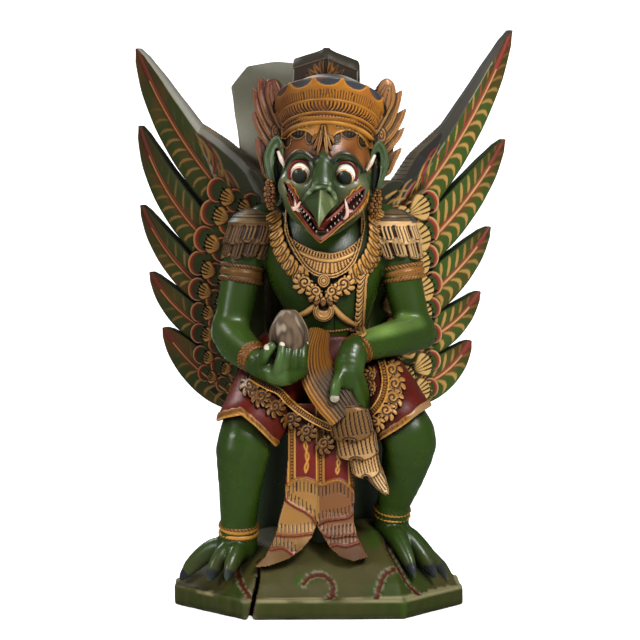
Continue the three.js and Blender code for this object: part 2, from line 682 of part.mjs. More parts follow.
// A column of small round feathers, one low plate with a scalloped outer edge.
function covertRow(side, { out, low, high, count }) {
  const scallops = Array.from({ length: 2 * count + 1 }, (_, i) => {
    const z = THREE.MathUtils.lerp(low, high, i / (2 * count));
    return [out + (i % 2 ? 9 : -7), z];
  });
  const outline = [[4, low], ...scallops, [4, high]].map(([x, z]) =>
    [side * x * wingUnit, (WING_FOOT + (z - WING_FOOT) * wingUnit) * unit]);
  const depth = WING_ROOT_THICKNESS / 2;
  const forward = new THREE.Matrix4().makeTranslation(0, -depth / 2 - COVERT_RELIEF, 0);
  return plate(outline, depth, wingFrame(side).multiply(forward));
}

const covertColumn = { out: 78, low: 286, high: 536, count: 7 };

function wing(side) {
  const whole = union([
    wingBoard(side),
    feathers[side].map((f, row) => feather(side, f, row)),
    covertRow(side, covertColumn),
  ]);
  // The root is planed flat, square to the board, so that it butts against its seat.
  const cutter = new THREE.BoxGeometry(FIGURE_HEIGHT, FIGURE_HEIGHT, 3 * FIGURE_HEIGHT);
  cutter.translate(side * (-FIGURE_HEIGHT / 2 + JOINT_GAP), 0, 0);
  cutter.applyMatrix4(wingFrame(side));
  return filled(whole.subtract(solidOf(cutter)));
}

// Tail: an upright board that stands on its seat and leans back behind the head

function tail() {
  const [top, foot, height] = [TAIL_TOP_WIDTH / 2, TAIL_FOOT_WIDTH / 2, TAIL_HEIGHT];
  const outline = [
    [-foot, 0], [foot, 0], [top, height * 0.94], [top * 0.55, height * 0.99], [0, height],
    [-top * 0.6, height * 0.995], [-top, height * 0.945],
  ].map(([x, z]) => [x, z + JOINT_GAP]);
  return plate(outline, TAIL_THICKNESS, tailFrame());
}

// Colours, roughness and metalness of the paint

const paint = (color, roughness, metalness) => new THREE.MeshStandardMaterial({ color, roughness, metalness });
const green = paint(0x2f4a1e, 0.4, 0);
const wingGreen = paint(0x3a4a20, 0.5, 0.05);
const tailGreen = paint(0x5d6553, 0.6, 0);

function figure() {
  const sides = [LEFT, RIGHT];
  const carved = union([
    plinth(), stump(), torso(), jar(), cuppingHand(), hangingHand(), waistband(), sash(), loincloth(),
    collar(), cords(), skull(), beak(), diadem(), crest(), tailSeat(),
    sides.map((side) => [leg(side), thigh(side), arm(side), belt(side), shoulderPiece(side), eye(side),
      ear(side), earWing(side), wingSeat(side)]),
  ]);
  return filled(carved.subtract(union(sides.map(wingRoom))));
}

// The wings are named for the figure's own left and right.
const group = new THREE.Group();
group.add(
  meshOf("figure", figure(), green),
  meshOf("left_wing", wing(RIGHT), wingGreen),
  meshOf("right_wing", wing(LEFT), wingGreen),
  meshOf("tail", tail(), tailGreen),
);

export default group;
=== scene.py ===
"""The looks of a garuda figure of carved and painted wood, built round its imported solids.

Shapes are laid out in millimetres from the middle of the slab's top, with the figure facing -Y,
and turned into metres in the solids' own frame when a piece is made.
"""

import math
from functools import partial

import bpy
import numpy as np
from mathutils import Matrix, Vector


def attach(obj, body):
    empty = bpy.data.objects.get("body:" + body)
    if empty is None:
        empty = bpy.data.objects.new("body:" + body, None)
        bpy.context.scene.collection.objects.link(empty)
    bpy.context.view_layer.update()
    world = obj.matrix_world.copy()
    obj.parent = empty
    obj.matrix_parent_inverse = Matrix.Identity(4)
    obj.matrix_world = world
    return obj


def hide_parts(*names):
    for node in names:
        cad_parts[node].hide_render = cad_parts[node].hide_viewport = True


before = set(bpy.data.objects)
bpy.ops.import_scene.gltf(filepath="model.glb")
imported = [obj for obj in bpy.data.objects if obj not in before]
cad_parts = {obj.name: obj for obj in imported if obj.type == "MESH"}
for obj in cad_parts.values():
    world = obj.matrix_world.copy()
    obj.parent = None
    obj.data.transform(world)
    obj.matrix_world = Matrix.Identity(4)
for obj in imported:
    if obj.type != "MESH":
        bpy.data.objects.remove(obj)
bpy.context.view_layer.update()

MM = 0.001
SLAB = 26.0  # thickness of the plinth's slab
LEFT, RIGHT = -1, 1  # sides of a person who faces the figure
FAR = 40.0  # distance that stands for empty space on a grid of clay


# Paint


def tint(code):
    """A linear colour from a hexadecimal one."""
    value = np.array([int(code[i : i + 2], 16) for i in (0, 2, 4)]) / 255
    return np.where(value < 0.04045, value / 12.92, ((value + 0.055) / 1.055) ** 2.4)


GREEN = tint("293d0c")
DEEP_GREEN = tint("172506")
FACE_GREEN = tint("56703f")
OLIVE = tint("3c3a18")
GOLD = tint("845210")
PALE_GOLD = tint("ac7a30")
TAN = tint("b4864e")
BRONZE = tint("68401c")
UMBER = tint("3c2410")
BLACK = tint("14120f")
RED = tint("5e160e")
BRICK = tint("7c2a1e")
PINK = tint("a8685c")
SLATE = tint("33363f")
GREY = tint("6f6d68")
BONE = tint("efe4d2")
MOSS = tint("4c5a44")
EARTH = tint("3d3820")


# Lines and grids


def smooth(points, count):
    """Count + 1 points along a smooth line through the given ones."""
    p = np.array(points, float)
    knot = np.concatenate([[0], np.cumsum(np.sqrt(np.linalg.norm(np.diff(p, axis=0), axis=1)))])
    slope = np.gradient(p, knot, axis=0)
    t = np.linspace(0, knot[-1], count + 1)
    i = np.clip(np.searchsorted(knot, t, side="right") - 1, 0, len(p) - 2)
    gap = (knot[i + 1] - knot[i])[:, None]
    s = (t - knot[i])[:, None] / gap
    return (
        (2 * s**3 - 3 * s**2 + 1) * p[i]
        + (s**3 - 2 * s**2 + s) * gap * slope[i]
        + (3 * s**2 - 2 * s**3) * p[i + 1]
        + (s**3 - s**2) * gap * slope[i + 1]
    )


def spread(values, count):
    """Count + 1 rows from a short list of numbers or rows, evenly spread."""
    rows = np.array([np.atleast_1d(v) if np.ndim(v) else [v, v] for v in values], float)
    t = np.linspace(0, len(rows) - 1, count + 1)
    return np.stack([np.interp(t, np.arange(len(rows)), rows[:, k]) for k in range(rows.shape[1])], 1)


def unit(v):
    v = np.asarray(v, float)
    return v / np.linalg.norm(v)


def ramp(x, low, high):
    """Runs smoothly from 0 at low to 1 at high."""
    t = np.clip((x - low) / (high - low), 0, 1)
    return t * t * (3 - 2 * t)


def bulge(x):
    """The height of a half circle over x from -1 to 1, and 0 outside it."""
    return np.sqrt(np.clip(1 - x**2, 0, 1))


def saw(x):
    """Falls from 0.5 at each whole number to 0 half way to the next one."""
    return np.abs(x % 1.0 - 0.5)


def circle(count):
    return np.linspace(0, 2 * math.pi, count, endpoint=False)


def mix(a, b, share):
    return a + (b - a) * np.asarray(share)[..., None]


def line_distance(x, y, line):
    """Distance to a line of points in a plane, and the share of the way along it."""
    best = np.full(np.shape(x), 1e6)
    share = np.zeros(np.shape(x))
    for i, (a, b) in enumerate(zip(line, line[1:])):
        run = b - a
        t = np.clip(((x - a[0]) * run[0] + (y - a[1]) * run[1]) / (run @ run + 1e-9), 0, 1)
        d = np.hypot(x - a[0] - t * run[0], y - a[1] - t * run[1])
        near = d < best
        best = np.where(near, d, best)
        share = np.where(near, (i + t) / (len(line) - 1), share)
    return best, share


def closed_line(points, count):
    """A smooth outline that ends where it starts."""
    return smooth([*points, points[0]], count)[:-1]


def inside(x, y, corners):
    """Signed distance to a closed outline, negative inside."""
    line = np.array([*corners, corners[0]], float)
    d, _ = line_distance(x, y, line)
    odd = np.zeros(np.shape(x), bool)
    for (ax, ay), (bx, by) in zip(line, line[1:]):
        crosses = (ay > y) != (by > y)
        odd ^= crosses & (x < ax + (y - ay) / (by - ay + 1e-12) * (bx - ax))
    return np.where(odd, -d, d)


def noise(x, y, z, seed):
    """A cheap smooth unevenness between -1 and 1, with a period of about 6."""
    rng = np.random.default_rng(seed)
    total = 0
    for _ in range(5):
        k = rng.normal(0, 1, 3)
        total = total + np.sin(k[0] * x + k[1] * y + k[2] * z + rng.uniform(0, 6.3))
    return total / 5


# Clay: bodies on a grid of distances


CORNERS = np.array([[i, j, k] for i in (0, 1) for j in (0, 1) for k in (0, 1)])
EDGES = [(a, b) for a in range(8) for b in range(a + 1, 8) if np.abs(CORNERS[a] - CORNERS[b]).sum() == 1]


class Clay:
    """A body of clay, kept as the distance to its surface on a grid."""

    def __init__(self, low, high, step):
        self.low, self.step = np.array(low, float), step
        self.axes = [np.arange(l, h + step, step) for l, h in zip(low, high)]
        self.d = np.full([len(a) for a in self.axes], FAR, np.float32)

    def add(self, shape, blend=0.0, cut=False):
        """Adds or cuts a shape, given as its distance function and its box."""
        distance, low, high = shape
        pad = blend + 3 * self.step
        window = tuple(
            slice(*np.searchsorted(a, [l - pad, h + pad])) for a, l, h in zip(self.axes, low, high)
        )
        if min(w.stop - w.start for w in window) < 1:
            return
        x, y, z = np.meshgrid(*[a[w] for a, w in zip(self.axes, window)], indexing="ij", sparse=True)
        new, old = distance(x, y, z), self.d[window]
        if cut:
            old = -old
        if blend:
            h = np.clip(0.5 + 0.5 * (old - new) / blend, 0, 1)
            new = old * (1 - h) + new * h - blend * h * (1 - h)
        else:
            new = np.minimum(old, new)
        self.d[window] = -new if cut else new

    def skin(self):
        """Points and four-sided faces of the surface."""
        full = self.d < 0
        n = [k - 1 for k in full.shape]
        count = sum(full[i : i + n[0], j : j + n[1], k : k + n[2]].astype(np.uint8) for i, j, k in CORNERS)
        active = (count > 0) & (count < 8)
        cells = np.argwhere(active)
        values = np.stack([self.d[tuple((cells + c).T)] for c in CORNERS], 1).astype(float)
        total, hits = np.zeros((len(cells), 3)), np.zeros(len(cells))
        for a, b in EDGES:
            va, vb = values[:, a], values[:, b]
            cross = (va < 0) != (vb < 0)
            t = np.where(cross, va / np.where(cross, va - vb, 1), 0)
            total += cross[:, None] * (CORNERS[a] + t[:, None] * (CORNERS[b] - CORNERS[a]))
            hits += cross
        points = self.low + self.step * (cells + total / hits[:, None])
        index = np.full(active.shape, -1, np.int32)
        index[active] = np.arange(len(cells))
        faces = []
        for axis, (b, c) in enumerate([(1, 2), (2, 0), (0, 1)]):
            first = [slice(1, k - 1) for k in full.shape]
            first[axis] = slice(0, full.shape[axis] - 1)
            second = list(first)
            second[axis] = slice(1, full.shape[axis])
            here, there = full[tuple(first)], full[tuple(second)]
            start = np.array([s.start for s in first])
            g = np.argwhere(here != there) + start
            eb, ec = np.eye(3, dtype=int)[b], np.eye(3, dtype=int)[c]
            quad = np.stack([index[tuple(q.T)] for q in (g - eb - ec, g - ec, g, g - eb)], 1)
            out = full[tuple(g.T)]
            faces.append(np.where(out[:, None], quad, quad[:, ::-1]))
        return points, np.concatenate(faces)

    def front(self):
        """The depth of the clay's front as a function of x and z."""
        full = self.d < 0
        hit = full.any(axis=1)
        j = np.clip(full.argmax(axis=1), 1, None)
        i, k = np.indices(hit.shape)
        before, after = self.d[i, j - 1, k], self.d[i, j, k]
        depth = self.axes[1][j - 1] + self.step * np.clip(before / (before - after + 1e-9), 0, 1)
        depth = np.where(hit, depth, np.nan)

        def at(x, z):
            u = np.clip((x - self.low[0]) / self.step, 0, depth.shape[0] - 1.001)
            v = np.clip((z - self.low[2]) / self.step, 0, depth.shape[1] - 1.001)
            i, k = u.astype(int), v.astype(int)
            u, v = u - i, v - k
            return (
                depth[i, k] * (1 - u) * (1 - v) + depth[i + 1, k] * u * (1 - v)
                + depth[i, k + 1] * (1 - u) * v + depth[i + 1, k + 1] * u * v
            )

        return at


def rod(points, radii, thin=(0, 1, 0), count=12, power=2.0):
    """A limb along a smooth line. A radius is a number or (wide, deep), thin is the deep direction.

    With a power over 2 the section is squarer than an ellipse.
    """
    line, size, thin = smooth(points, count), spread(radii, count), np.array(thin, float)

    def distance(x, y, z):
        best = np.float32(1e3)
        for a, b, ra, rb in zip(line, line[1:], size, size[1:]):
            length = np.linalg.norm(b - a)
            along = (b - a) / length
            deep = unit(thin - (thin @ along) * along)
            wide = np.cross(along, deep)
            x0, y0, z0 = ((p - start).astype(np.float32) for p, start in zip((x, y, z), a))
            full = x0 * along[0] + y0 * along[1] + z0 * along[2]
            s = np.clip(full, 0, length)
            w = ra[0] + (rb[0] - ra[0]) / length * s
            d = ra[1] + (rb[1] - ra[1]) / length * s
            u = (x0 * wide[0] + y0 * wide[1] + z0 * wide[2]) / w
            v = (x0 * deep[0] + y0 * deep[1] + z0 * deep[2]) / d
            least = np.minimum(w, d)
            across = (np.abs(u) ** power + np.abs(v) ** power) ** (1 / power)
            k = np.sqrt(across**2 + ((full - s) / least) ** 2)
            best = np.minimum(best, (k - 1) * least)
        return best

    reach = size.max(axis=1)[:, None]
    return distance, (line - reach).min(axis=0), (line + reach).max(axis=0)


def ball(centre, radii):
    """An ellipsoid."""
    c, r = np.array(centre, float), np.array(radii, float)

    def distance(x, y, z):
        u, v, w = (x - c[0]) / r[0], (y - c[1]) / r[1], (z - c[2]) / r[2]
        return (np.sqrt(u * u + v * v + w * w) - 1) * r.min()

    return distance, c - r.max(), c + r.max()


# Carving: low relief on a flat map of a surface


class Carving:
    """Heights and paint on a flat map of a surface, with u across and v up, in millimetres."""

    def __init__(self, box, step, paint, on=False):
        u0, u1, v0, v1 = box
        self.u, self.v = np.meshgrid(
            np.linspace(u0, u1, max(2, round((u1 - u0) / step) + 1)),
            np.linspace(v0, v1, max(2, round((v1 - v0) / step) + 1)), indexing="ij")
        self.height = np.zeros(self.u.shape)
        self.paint = np.broadcast_to(paint, (*self.u.shape, 3)).copy()
        self.on = np.full(self.u.shape, on)

    def lay(self, distance, height=None, paint=None, soft=1.4, on=None, rise=None):
        """Works on the part of the map where a signed distance is negative."""
        cover = np.clip(0.5 - distance / soft, 0, 1)
        if height is not None:
            self.height += cover * (height - self.height)
        if rise is not None:
            self.height += cover * rise
        if paint is not None:
            self.paint = mix(self.paint, paint, cover)
        if on is not None:
            self.on = np.where(distance < 0, on, self.on)

    def stroke(self, points, width, rise, paint, count=12, ends=(1.0, 1.0), soft=1.4):
        """A rounded ridge, or a groove where rise is negative, along a smooth line."""
        line = smooth(points, count) if count else np.array(points, float)
        low, high = line.min(axis=0) - width - soft, line.max(axis=0) + width + soft
        sides = zip((self.u[:, 0], self.v[0]), low, high)
        window = tuple(slice(*np.searchsorted(places, [start, stop])) for places, start, stop in sides)
        u, v = self.u[window], self.v[window]
        if not u.size:
            return
        d, share = line_distance(u, v, line)
        wide = width * (ends[0] + (ends[1] - ends[0]) * share)
        self.height[window] += rise * bulge(d / np.maximum(wide, 0.01))
        cover = np.clip(0.5 + (wide - d) / soft, 0, 1)
        self.paint[window] = mix(self.paint[window], paint, cover)

    def fill(self, mask, paint):
        self.paint = np.where(mask[..., None], paint, self.paint)

    def blend(self, paint, share):
        self.paint = mix(self.paint, paint, share)

    def cover(self, mask, height, paint):
        """Lays a flat of one height over the mask."""
        self.on |= mask
        self.height = np.where(mask, height, self.height)
        self.fill(mask, paint)

    def cut(self, mask, deep, paint):
        self.height -= deep * mask
        self.fill(mask, paint)

    def outline(self, distance, half, rise, paint, soft=1.4):
        """A narrow groove or ridge along the edge where a signed distance is zero."""
        self.lay(np.abs(distance) - half, rise=rise, paint=paint, soft=soft)

    def sheet(self, surface, rim=6.0, back=None, floor=None):
        """Points, faces and paint where the map is on. surface(u, v, height) gives the points.

        The walls at its edge go back by the rim, or to the floor, a height of their own. A back
        is made where its paint is given, from one long strip for each run of cells.
        """
        on = self.on
        cells = on[:-1, :-1] & on[1:, :-1] & on[1:, 1:] & on[:-1, 1:]
        n = on.size
        index = np.arange(n).reshape(on.shape)
        quads = np.stack([index[:-1, :-1], index[1:, :-1], index[1:, 1:], index[:-1, 1:]], -1)
        faces = [quads[cells]]
        padded = np.pad(cells, 1)
        for shift, (a, b) in (((1, 0), (3, 0)), ((-1, 0), (1, 2)), ((0, 1), (0, 1)), ((0, -1), (2, 3))):
            beside = np.roll(padded, shift, (0, 1))[1:-1, 1:-1]
            wall = quads[cells & ~beside]
            faces.append(np.stack([wall[:, b], wall[:, a], wall[:, a] + n, wall[:, b] + n], 1))
        if back is not None:
            change = np.diff(np.pad(cells, ((0, 0), (1, 1))).astype(int), axis=1)
            (i, low), high = np.argwhere(change == 1).T, np.argwhere(change == -1)[:, 1]
            strip = [index[i, high], index[i + 1, high], index[i + 1, low], index[i, low]]
            faces.append(np.stack(strip, 1) + 2 * n)
        faces = np.concatenate(faces)
        behind = np.minimum(self.height, 0) - rim if floor is None else self.height * 0 + floor
        front, rear = (surface(self.u, self.v, h).reshape(-1, 3) for h in (self.height, behind))
        points = np.concatenate([front, rear, rear])
        paint = self.paint.reshape(-1, 3)
        # The walls are painted darker than the front: a painted shade on the relief's sides.
        wall = paint * 0.45
        plain = wall if back is None else np.broadcast_to(back, paint.shape)
        paint = np.concatenate([paint, wall, plain])
        used, faces = np.unique(faces, return_inverse=True)
        return points[used], faces.reshape(-1, 4), paint[used]


# Pieces


class Piece:
    """Gathers meshes and makes one object of them."""

    def __init__(self):
        self.points, self.faces, self.paint, self.count = [], [], [], 0

    def add(self, points, faces, paint, turned_over=False):
        """Adds a mesh. Its faces are turned over where its map runs the other way round."""
        points = np.asarray(points, float)
        self.points.append(points)
        self.faces.append(np.asarray(faces)[:, :: -1 if turned_over else 1] + self.count)
        self.paint.append(np.broadcast_to(paint, (len(points), 3)))
        self.count += len(points)

    def make(self, name, material, node="figure"):
        points = (np.concatenate(self.points) + [0, 0, SLAB]) * MM
        quads = np.concatenate(self.faces).astype(np.int32)
        mesh = bpy.data.meshes.new(name)
        mesh.vertices.add(len(points))
        mesh.vertices.foreach_set("co", points.ravel())
        mesh.loops.add(quads.size)
        mesh.loops.foreach_set("vertex_index", quads.ravel())
        mesh.polygons.add(len(quads))
        mesh.polygons.foreach_set("loop_start", np.arange(0, quads.size, 4, dtype=np.int32))
        mesh.update()
        mesh.validate()
        colour = np.ones((len(points), 4))
        colour[:, :3] = np.concatenate(self.paint)
        layer = mesh.color_attributes.new("paint", "FLOAT_COLOR", "POINT")
        layer.data.foreach_set("color", colour.ravel())
        mesh.shade_smooth()
        mesh.materials.append(PAINTS[material])
        piece = bpy.data.objects.new(name, mesh)
        bpy.context.scene.collection.objects.link(piece)
        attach(piece, "root")
        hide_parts(node)


def whole_piece(name, material, points, faces, paint):
    """A piece of the figure that is one mesh."""
    piece = Piece()
    piece.add(points, faces, paint)
    piece.make(name, material)


def lofted(rings, closed=True):
    """Points and faces of a surface over rings of points."""
    rings = np.asarray(rings)
    rows, sides = rings.shape[:2]
    i, j = np.meshgrid(np.arange(rows - 1), np.arange(sides if closed else sides - 1), indexing="ij")
    a, b = i * sides + j, i * sides + (j + 1) % sides
    return rings.reshape(-1, 3), np.stack([a, b, b + sides, a + sides], -1).reshape(-1, 4)


# Materials


def painted(name, rough, wear, dirt_and_shade, grain, coat=0.0, worn="8d8a70", gloss=0.25, metal=0.0):
    """Old paint on carved wood: the painted colour, grime and painted shade in the hollows, a wide painted
    shade where parts come close, and wear on the ridges.
    """
    material = bpy.data.materials.new(name)
    material.use_nodes = True
    nodes, links = material.node_tree.nodes, material.node_tree.links
    shader = nodes["Principled BSDF"]

    def node(kind, inputs=(), **settings):
        made = nodes.new("ShaderNode" + kind)
        for key, value in settings.items():
            setattr(made, key, value)
        for key, value in dict(inputs).items():
            if isinstance(value, bpy.types.NodeSocket):
                links.new(value, made.inputs[key])
            else:
                made.inputs[key].default_value = value
        return made

    def blend(share, a, b, kind="MIX"):
        made = node("Mix", data_type="RGBA", blend_type=kind, clamp_factor=True)
        for key, value in ((0, share), (6, a), (7, b)):
            if isinstance(value, bpy.types.NodeSocket):
                links.new(value, made.inputs[key])
            else:
                made.inputs[key].default_value = value
        return made.outputs[2]

    def scaled(socket, low, high, to_low=0.0, to_high=1.0):
        return node("MapRange", {0: socket, 1: low, 2: high, 3: to_low, 4: to_high}).outputs[0]

    def maths(kind, a, b):
        return node("Math", {0: a, 1: b}, operation=kind).outputs[0]

    def texture(vector, scale, detail, roughness):
        inputs = {"Vector": vector, "Scale": scale, "Detail": detail, "Roughness": roughness}
        return node("TexNoise", inputs).outputs["Fac"]

    def tinted(share, below, times):
        return blend(share, below, blend(1.0, below, (*times, 1), "MULTIPLY"))

    place = node("TexCoord").outputs["Object"]
    paint = node("VertexColor", layer_name="paint").outputs["Color"]
    broad = texture(place, 28, 5, 0.6)
    fine = texture(place, 260, 4, 0.7)
    stretched = node("Mapping", {"Vector": place, "Scale": (1, 1, 0.12)}).outputs["Vector"]
    fibre = texture(stretched, 420, 3, 0.6)
    point = node("NewGeometry").outputs["Pointiness"]
    hollow = node("AmbientOcclusion", {"Distance": 0.012}, samples=6).outputs["AO"]

    colour = tinted(scaled(broad, 0.3, 0.7, 0.0, 0.35), paint, (0.62, 0.62, 0.5))
    colour = tinted(scaled(fine, 0.35, 0.75, 0.0, 0.25), colour, (1.25, 1.25, 1.2))
    # A wide ambient occlusion darkens the paint where parts come close together: a painted shade.
    wide_shade = node("AmbientOcclusion", {"Distance": 0.09}, samples=6).outputs["AO"]
    colour = tinted(scaled(wide_shade, 0.15, 0.75, 0.7, 0.0), colour, (0.2, 0.18, 0.12))
    # A narrow one darkens the carved hollows, as grime and as painted shade, and roughens them.
    deep = maths("MULTIPLY", scaled(hollow, 0.35, 0.95, 1.0, 0.0), dirt_and_shade)
    colour = tinted(deep, colour, (0.16, 0.11, 0.07))
    ridge = maths("MULTIPLY", scaled(point, 0.515, 0.60), scaled(broad, 0.35, 0.6, 0.25, 1.0))
    colour = blend(maths("MULTIPLY", ridge, wear), colour, (*tint(worn), 1))
    links.new(colour, shader.inputs["Base Color"])
    links.new(maths("ADD", scaled(broad, 0.3, 0.7, rough - 0.08, rough + 0.1), maths("MULTIPLY", deep, 0.25)),
              shader.inputs["Roughness"])
    shader.inputs["Specular IOR Level"].default_value = gloss
    shader.inputs["Metallic"].default_value = metal
    shader.inputs["Coat Weight"].default_value = coat
    shader.inputs["Coat Roughness"].default_value = 0.22
    height = maths("ADD", maths("MULTIPLY", fibre, grain), maths("MULTIPLY", fine, 0.4))
    bump = node("Bump", {"Height": height, "Strength": 0.35, "Distance": 0.0008})
    links.new(bump.outputs["Normal"], shader.inputs["Normal"])
    return material


# Wings


WING_SWEEP = math.radians(31)
WING_HALF = 21.0  # half the board's thickness at the root
WING_SEAT = (62, 52)  # how far out from the middle and how far back a wing starts
ROOT_HALF, TIP_HALF = WING_HALF * 0.72, 5.5  # half the thickness of a feather at its ends
ROW_STEP = 2.5  # how much further forward each feather lies than the one above it
FEATHER_WIDTHS = [0.85, 1, 0.98, 0.86, 0.62, 0.17]  # evenly spread from the root to the tip
# The root and tip of each feather on its wing, its half width and its bow, the top one first.
FEATHERS = {
    LEFT: [
        ((52, 526), (222, 757), 34, 0.055), ((62, 451), (216, 645), 29, 0.09),
        ((68, 389), (212, 530), 25, 0.085), ((60, 339), (195, 433), 26, 0.1),
        ((54, 262), (171, 353), 30, 0.065),
    ],
    RIGHT: [
        ((54, 502), (260, 786), 30, 0.05), ((65, 446), (246, 626), 31, 0.055),
        ((61, 376), (218, 498), 31, 0.065), ((56, 329), (198, 404), 28, 0.11),
        ((58, 268), (180, 333), 30, 0.12),
    ],
}


def on_wing(side, out, z, lift):
    """A point of a wing: out from its seat, up, and lifted to the front from the board's middle."""
    c, s = math.cos(WING_SWEEP), math.sin(WING_SWEEP)
    x, y = WING_SEAT[0] + out * c + lift * s, WING_SEAT[1] + out * s - lift * c
    return np.stack([side * x, y, z + 0 * out], -1)


# Each wing's colours: the right one, on the viewer's right, is paler than the left one, which is painted
# darker as browned paint and as painted shade. The side colour is light grey on the left wing, as wear and
# painted light, and dark grey on the right.
WING_PAINTS = {
    LEFT: {"green": tint("23290f"), "bar": tint("5e4423"), "rib": tint("7a5628"), "red": tint("4a1511"),
           "ring": tint("7a4a1e"), "hand": tint("745021"), "side": tint("76746c"), "board": tint("262619")},
    RIGHT: {"green": tint("34451c"), "bar": tint("96743f"), "rib": tint("a88450"), "red": tint("7c2828"),
            "ring": tint("a88250"), "hand": tint("ae8c54"), "side": tint("3a3833"), "board": tint("262620")},
}


def bars(along, across, length, half, side, row):
    """Share of the painted bars of a feather, which lean to its tip, and of the flames on the top one.

    Along is in mm from the root, across in mm with the upper half positive.
    """
    share, edge, above = along / length, np.abs(across), across > 0
    if side == RIGHT:
        lean = np.where(above, 1.6 * edge - 0.018 * edge**2, 2.38 * edge - 0.074 * edge**2)
        pitch, width = 19.5, np.where(above, 0.38, 0.34)
    else:
        lean = np.where(above, 1.35 * edge - 0.006 * edge**2, 1.25 * edge - 0.03 * edge**2)
        pitch, width = np.where(above, 22.0, 17.5), np.where(above, 0.2, 0.25)
    start = np.where(above, 4.2, 2.6) if side == RIGHT else np.where(above, 5.6, 3.6)
    reach = (edge - start) / (0.9 * half - start)
    if row == 0:
        lean = np.where(above, 2.4 * edge - 0.02 * edge**2, lean)
        pitch, width = np.where(above, 27.0, pitch), np.where(above, 0.24 if side == RIGHT else 0.16, width)
        reach = np.where(above, reach * 1.5, reach)
    wobble = 0.07 * noise(along / 15, across / 15, 0, seed=31 + row)
    wave = saw((along - lean) / pitch + wobble)
    width = width * (0.6 + 0.4 * ramp(reach, 0.0, 0.3))
    width = width * np.sqrt(np.clip(1.02 - reach**4, 0, 1)) * (reach > 0)
    stripe = 1 - ramp(wave, width / 2 - 0.03, width / 2 + 0.03)
    fade = 1 - (0.75 * ramp(share, 0.55, 0.95) if side == RIGHT else ramp(share, 0.42, 0.78))
    if side == LEFT and row == 0:
        fade = fade * np.where(above, 0.3, 1.0)
    return stripe * fade * (width > 0.02)


def feather_paint(side, row, arc, across, length, thin, stripe):
    """Green with its bars, browner to the tip, and a rib in gold between red lines."""
    colours = WING_PAINTS[side]
    tip_share = ramp(arc / length, 0.6, 0.97)
    ground = mix(colours["green"], mix(BLACK, UMBER, 0.5), 0.65 * tip_share)
    patch = ramp(noise(arc / 20, across / 11, 0, seed=90 + row), 0.1, 0.7)
    ground = mix(ground, BRONZE * 0.5, 0.35 * patch)
    bar = mix(colours["bar"], colours["red"], 0.5 * tip_share)
    if row == 0:
        bar = mix(bar, colours["red"], 0.8 * ((across > 0) & ((arc / 30) % 2 < 1)))
    colour = mix(ground, bar, stripe)
    gold, red = (1.7, 3.4) if side == RIGHT else (0.9, 4.2)
    haze = np.exp(-((across / 7) ** 2)) * ramp(noise(arc / 12, across / 4, 0, seed=120 + row), -0.4, 0.4)
    colour = mix(colour, colours["red"], 0.6 * haze * ramp(arc / length, 0.3, 0.7))
    rib_red = 1 - ramp(np.abs(across - (gold + red * 0.5) * thin), red * 0.5 * thin, red * 0.5 * thin + 0.8)
    colour = mix(colour, colours["red"], rib_red * (arc / length < 0.97) * 0.9)
    below = 1 - ramp(np.abs(across + (2.6 if side == LEFT else 3.4) * thin), 1.4 * thin, 1.4 * thin + 0.8)
    colour = mix(colour, colours["red"], below * (arc / length < 0.93) * 0.85)
    rib_gold = 1 - ramp(np.abs(across + 0.4), gold * thin, gold * thin + 0.6)
    return mix(colour, colours["rib"], rib_gold * (arc / length < 0.82))


